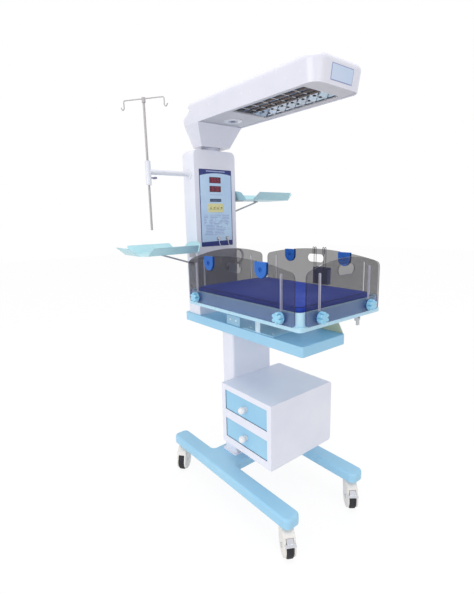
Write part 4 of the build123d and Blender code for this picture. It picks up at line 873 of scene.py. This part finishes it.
tree.links.new(ranged(tree, wash, 0.3, 0.7, 0.24, 0.36), shader.inputs["Roughness"])
film_grain = add(tree, "TexNoise", Vector=spot, Scale=900.0).outputs["Fac"]
tree.links.new(add(tree, "Bump", Distance=0.00002, Height=film_grain).outputs[0], shader.inputs["Normal"])
keypad_yellow = skin("keypad_yellow", "EFEBB2", "E6E2A4", roughness=0.45, edge_highlight_share=0)
dress("control_overlay", film_finish, keypad_yellow,
      pick=lambda spot: 1 if spot.y < film_front - 0.0001 else 0)

display_red = skin("display_red", "661034", "560C2C", roughness=0.15, edge_highlight_share=0)
display_dark = skin("display_dark", "304668", "283C5A", roughness=0.2, edge_highlight_share=0)
board_green = skin("board_green", "2C5A3C", "244C32", roughness=0.5)
bar_high, board_front = film_low.z + 0.24, 0.335
dress("control_board", display_red, display_dark, board_green, pick=lambda spot: 2 if (
    spot.y > board_front) else 1 if spot.z < bar_high else 0)

lit_red, tree, shader = bare_finish("lit_red")
glow = add(tree, "TexNoise", Vector=add(tree, "TexCoord").outputs["Object"], Scale=300.0).outputs["Fac"]
lit = mixed_colour(tree, glow, chip("B83052"), chip("A42848"))
tree.links.new(lit, shader.inputs["Emission Color"])
tree.links.new(lit, shader.inputs["Base Color"])
shader.inputs["Emission Strength"].default_value = 0.15
segment_places = {
    "a": ((0, 1), True), "b": ((0.5, 0.5), False), "c": ((0.5, -0.5), False), "d": ((0, -1), True),
    "e": ((-0.5, -0.5), False), "f": ((-0.5, 0.5), False), "g": ((0, 0), True),
}
digit_segments = {"3": "abcdg", "6": "acdefg", "5": "acdfg", "7": "abc", "0": "abcdef"}
digit_height, digit_width, bar_width, bar_depth = 0.0085, 0.0092, 0.0017, 0.0003
bar_gap, bar_share, row_share = 0.0006, 0.9, 0.95
display_x, digit_pitch, point_x, point_drop, point_half = -0.004, 0.0175, 0.0065, 0.008, 0.001


def lit_bar(shape, x, z, half_wide, half_high):
    soft_block(shape, (x - half_wide, film_front - bar_depth, z - half_high),
               (x + half_wide, film_front, z + half_high), 0.0001, 1)


shape = bmesh.new()
for digits, middle_z in (("365", film_low.z + 0.32), ("370", film_low.z + 0.278)):
    for place, digit in enumerate(digits):
        middle_x = display_x + (place - 1) * digit_pitch
        for segment in digit_segments[digit]:
            (across, above), flat = segment_places[segment]
            half_long = (digit_width if flat else digit_height) / 2 - bar_gap
            halves = (half_long, bar_width / 2) if flat else (bar_width / 2, half_long * bar_share)
            x, z = middle_x + across * digit_width, middle_z + above * digit_height * row_share
            lit_bar(shape, x, z, *halves)
    lit_bar(shape, point_x, middle_z - point_drop, point_half, point_half)
finished_mesh("display_digits", shape, [lit_red], "stand")

key_line = skin("key_line", "8C8A50", "7C7A46", roughness=0.5, edge_highlight_share=0)
bar_lit = skin("bar_lit", "6A80A4", "5E7498", roughness=0.3, edge_highlight_share=0)
key_pitch, key_half, key_lift = 0.0215, 0.0085, 0.0004
mark_front, mark_back = film_low.y - 0.00055, film_low.y - 0.0003
mark_half, mark_foot, mark_tip = 0.0045, 0.003, 0.0042
middle_z = film_low.z + 0.187
shape = bmesh.new()
for index in range(4):
    middle_x = display_x + (index - 1.5) * key_pitch
    soft_block(shape, (middle_x - key_half, film_low.y - key_lift, middle_z - key_half),
               (middle_x + key_half, film_low.y, middle_z + key_half), 0.0003)
    arrow = ((-mark_half, -mark_foot), (mark_half, -mark_foot), (0, mark_tip))
    if index % 2:
        arrow = ((-mark_half, mark_foot), (0, -mark_tip), (mark_half, mark_foot))
    front = [shape.verts.new((middle_x + x, mark_front, middle_z + z)) for x, z in arrow]
    back = [shape.verts.new((middle_x + x, mark_back, middle_z + z)) for x, z in arrow]
    raised_plate(shape, front, back, 1)
bmesh.ops.recalc_face_normals(shape, faces=shape.faces)
finished_mesh("touch_keys", shape, [keypad_yellow, key_line], "stand")
segment_pitch, segment_z, segment_half_wide, segment_half_high = 0.007, film_low.z + 0.224, 0.0022, 0.0035
shape = bmesh.new()
for index in range(9):
    lit_bar(shape, display_x + (index - 4) * segment_pitch, segment_z, segment_half_wide, segment_half_high)
finished_mesh("bar_segments", shape, [bar_lit], "stand")


# Skin temperature probe cords
# Two thin white jacketed cords hang from right angled plugs on the control film, wound in loose loops.
# Each ends in a moulded white grip with a thin dark sensing tip; the plugs push into round sockets.
jacket = skin("cord_jacket", "F4F2F4", "EAE8EE", roughness=0.45, grain=1500, depth=0.00002, edge_highlight_share=0)
cord_y = 0.31895
cord_radius = 0.0015
steps_per_turn = 16


def looped_cord(name, first_points, centre, radius, growth, pitch, start_angle, turns, approach):
    def at(loops):
        angle = radians(start_angle + 360 * loops)
        reach = radius + growth * loops
        return Vector((
            centre[0] + reach * cos(angle), cord_y - pitch * loops, centre[1] + reach * sin(angle)
        ))

    end_run = 0.003
    way_in = (at(0.001) - at(0)).normalized()
    way_out = (at(turns) - at(turns - 0.001)).normalized()
    entry = at(0) - way_in * end_run
    points = [Vector(point) for point in first_points] + [entry - way_in * approach, entry]
    count = round(steps_per_turn * turns)
    points += [at(turns * index / count) for index in range(count + 1)]
    points.append(at(turns) + way_out * end_run)
    return tube(name, points, cord_radius, jacket)


left_cord = looped_cord(
    "probe_cord_left",
    [(0.005, cord_y, 1.195), (0.005, cord_y, 1.188), (0.01, cord_y, 1.1762), (0.0221, cord_y, 1.1638),
     (0.0311, cord_y, 1.1491)],
    centre=(0.035, 1.094), radius=0.028, growth=0.0005, pitch=0.0042, start_angle=125, turns=1.4444,
    approach=0.018,
)
right_cord = looped_cord(
    "probe_cord_right",
    [(0.061, cord_y, 1.195), (0.061, cord_y, 1.188), (0.0655, cord_y, 1.176), (0.0741, cord_y, 1.162),
     (0.0805, cord_y, 1.145)],
    centre=(0.114, 1.113), radius=0.034, growth=0.0022, pitch=0.0037, start_angle=175, turns=3.2639,
    approach=0.012,
)
probe_grip = skin("probe_grip", "F6F6F8", "ECECF2", roughness=0.35, edge_highlight_share=0)
probe_tip = skin("probe_tip", "3A3638", "4A4648", roughness=0.5, edge_highlight_share=0)
tip_inset, tip_length, tip_half = 0.0075, 0.0175, 0.0045
for side, cord, length in (("left", left_cord, 0.3543), ("right", right_cord, 0.8574)):
    sensor_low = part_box(f"probe_sensor_{side}")[0]
    tip_x = sensor_low.x + tip_inset
    dress(f"probe_sensor_{side}", probe_grip, probe_tip, pick=lambda spot: 1 if (
        spot.z < sensor_low.z + tip_length and abs(spot.x - tip_x) < tip_half) else 0)
    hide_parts(f"probe_cable_{side}", f"probe_coil_{side}")
    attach(cord, "stand")
    start = cord.data.splines[0].points[0].co[:3]

socket_grey = skin("socket_grey", "8E929C", "7E828C", roughness=0.4)
plug_white = skin("plug_white", "E6E4E8", "D8D6DC", roughness=0.4)
socket_depth = 0.0031
socket_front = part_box("probe_sockets")[1].y - socket_depth
dress("probe_sockets", socket_grey, plug_white, pick=lambda spot: 0 if spot.y > socket_front else 1)


# Heater head and neck
# Two moulded white shells: a flared neck that turns on the swivel post and a long drafted cover.
# A pale plate with a thin blue border is stuck on the front end.
white_shell = skin("white_shell", "E9E9F4", "E2E3F0", "F4F4FA", roughness=0.24, spread=0.08, grain=260,
                   depth=0.00003, coat=0.3, edge_highlight_share=0, edge_radius=0)
dress("neck_housing", white_shell)
dress("head_cover", white_shell)
plate_pale = skin("plate_pale", "D2E0F6", "C8D8F2", roughness=0.4, edge_highlight_share=0)
plate_line = skin("plate_line", "8C9BCB", "7F8FC2", roughness=0.35, edge_highlight_share=0)
front_tree = BVHTree.FromObject(nodes["head_cover"], bpy.context.evaluated_depsgraph_get())
plate_low_z, plate_high_z, plate_left, plate_right = 1.750, 1.800, -0.056, 0.060
line_width, line_lift, plate_lift = 0.0022, 0.0006, 0.0011
shape = bmesh.new()
for inset, depth, finish in ((0, line_lift, 1), (line_width, plate_lift, 0)):
    front, back = [], []
    for x, z in ((plate_left + inset, plate_low_z + inset), (plate_right - inset, plate_low_z + inset),
                 (plate_right - inset, plate_high_z - inset), (plate_left + inset, plate_high_z - inset)):
        hit = front_tree.ray_cast(Vector((x, -2, z)), Vector((0, 1, 0)))[0]
        front.append(shape.verts.new(hit + Vector((0, -depth, 0))))
        back.append(shape.verts.new(hit + Vector((0, 0.001, 0))))
    raised_plate(shape, front, back, finish)
bmesh.ops.recalc_face_normals(shape, faces=shape.faces)
finished_mesh("front_plate", shape, [plate_pale, plate_line], "head")


# Under panel, reflector, heater rods and guard
# A painted steel plate closes the head below, with a polished aluminium trough in its window.
# Ceramic cased rods cross the trough behind a welded wire guard, held by dark spring clips.
under_grey = skin("under_grey", "D9D7DC", "CFCED4", "E8E6EA", roughness=0.5, grain=400)
dress("head_under_panel", under_grey)
mirror_sheet = skin("mirror_sheet", "CBD6E4", "A9B0BE", "E8EEF6", roughness=0.16, spread=0.14, grain=60,
                    depth=0.0006, metallic=1.0, edge_highlight_share=0.2, cloud_scale=9)
dress("reflector", mirror_sheet)
rod_ceramic = skin("rod_ceramic", "8E7F78", "6E625E", "A89A92", roughness=0.55)
dress("heater_rods", rod_ceramic)
dress("guard_grille", bright_steel)
clip_dark = skin("clip_dark", "2B2C32", "393A42", roughness=0.5)
grille_low, grille_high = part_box("guard_grille")
clip_half_x, clip_half_y, clip_pitch_x, clip_pitch_y, clips_x = 0.0052, 0.0045, 0.034, 0.056, 0.008
clip_low_z, clip_high_z = grille_low.z - 0.001, grille_low.z + 0.004
middle_y = (grille_low.y + grille_high.y) / 2
shape = bmesh.new()
for row in range(4):
    x = clips_x + clip_pitch_x * (row - 1.5)
    for bar in range(6):
        y = middle_y + clip_pitch_y * (bar - 2.5)
        soft_block(shape, (x - clip_half_x, y - clip_half_y, clip_low_z),
                   (x + clip_half_x, y + clip_half_y, clip_high_z), 0.001)
finished_mesh("heater_clips", shape, [clip_dark], "head")


# Examination lamp
# A round white bezel under the panel, with a frosted lens round a small dark lamp.
lamp_white = skin("lamp_white", "EDEDF4", "E2E2EC", roughness=0.3)
lens_frost = skin("lens_frost", "C9CCDA", "B9BCCC", roughness=0.2, edge_highlight_share=0)
lamp_low, lamp_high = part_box("exam_lamp")
lamp_middle = (lamp_low + lamp_high) / 2
lens_radius, lens_depth = 0.0243, 0.0016
dress("exam_lamp", lamp_white, lens_frost, pick=lambda spot: 1 if (
    Vector((spot.x - lamp_middle.x, spot.y - lamp_middle.y)).length < lens_radius
    and spot.z < lamp_low.z + lens_depth) else 0)
lamp_dark = skin("lamp_dark", "5A5C70", "484A5E", roughness=0.3, edge_highlight_share=0)
lamp_place = Vector((lamp_middle.x, lamp_middle.y, lamp_low.z))
bulb_profile = [(0, 0.0016), (0.0105, 0.0013), (0.0125, 0.0002), (0.0135, -0.001)]
shape = bmesh.new()
turned(shape, bulb_profile, facing_matrix(lamp_place, (0, 0, -1)))
finished_mesh("lamp_bulb", shape, [lamp_dark], "head")


# Drip pole
# A bent bracket arm with a white sleeve on the housing's side, and a thin steel pole that slides in it.
# A grey clamp screw holds the pole, and the bent hook bar on top takes two bags.
arm_white = skin("arm_white", "ECEDF4", "E2E4EE", roughness=0.35)
pole_steel = skin("pole_steel", "B6B2B4", "A8A4A8", roughness=0.45, metallic=0.3, edge_highlight_share=0,
                  edge_radius=0)
dress("iv_arm", arm_white)
dress("iv_pole", pole_steel)
dress("iv_hook_bar", pole_steel)
clamp_grey = skin("clamp_grey", "8E8EAA", "80809C", "9C9CB4", roughness=0.45)
dress("iv_clamp_knob", clamp_grey)
soften("iv_clamp_knob", 0.0008)


# Side trays
# One bent steel sheet each, powder coated pale cyan, with four turned up sides and open corners.
# Plated brackets and a thin stay carry them from the housing's sides.
tray_cyan = skin("tray_cyan", "BCE4EC", "AEDAE4", "D8F2F6", roughness=0.36, grain=420, depth=0.00005)
stay_grey = skin("stay_grey", "BEBEC4", "AEAEB6", roughness=0.45, metallic=0.2, edge_highlight_share=0,
                 edge_radius=0)
for side in ("left", "right"):
    dress(f"tray_{side}", tray_cyan)
dress("tray_struts", stay_grey)
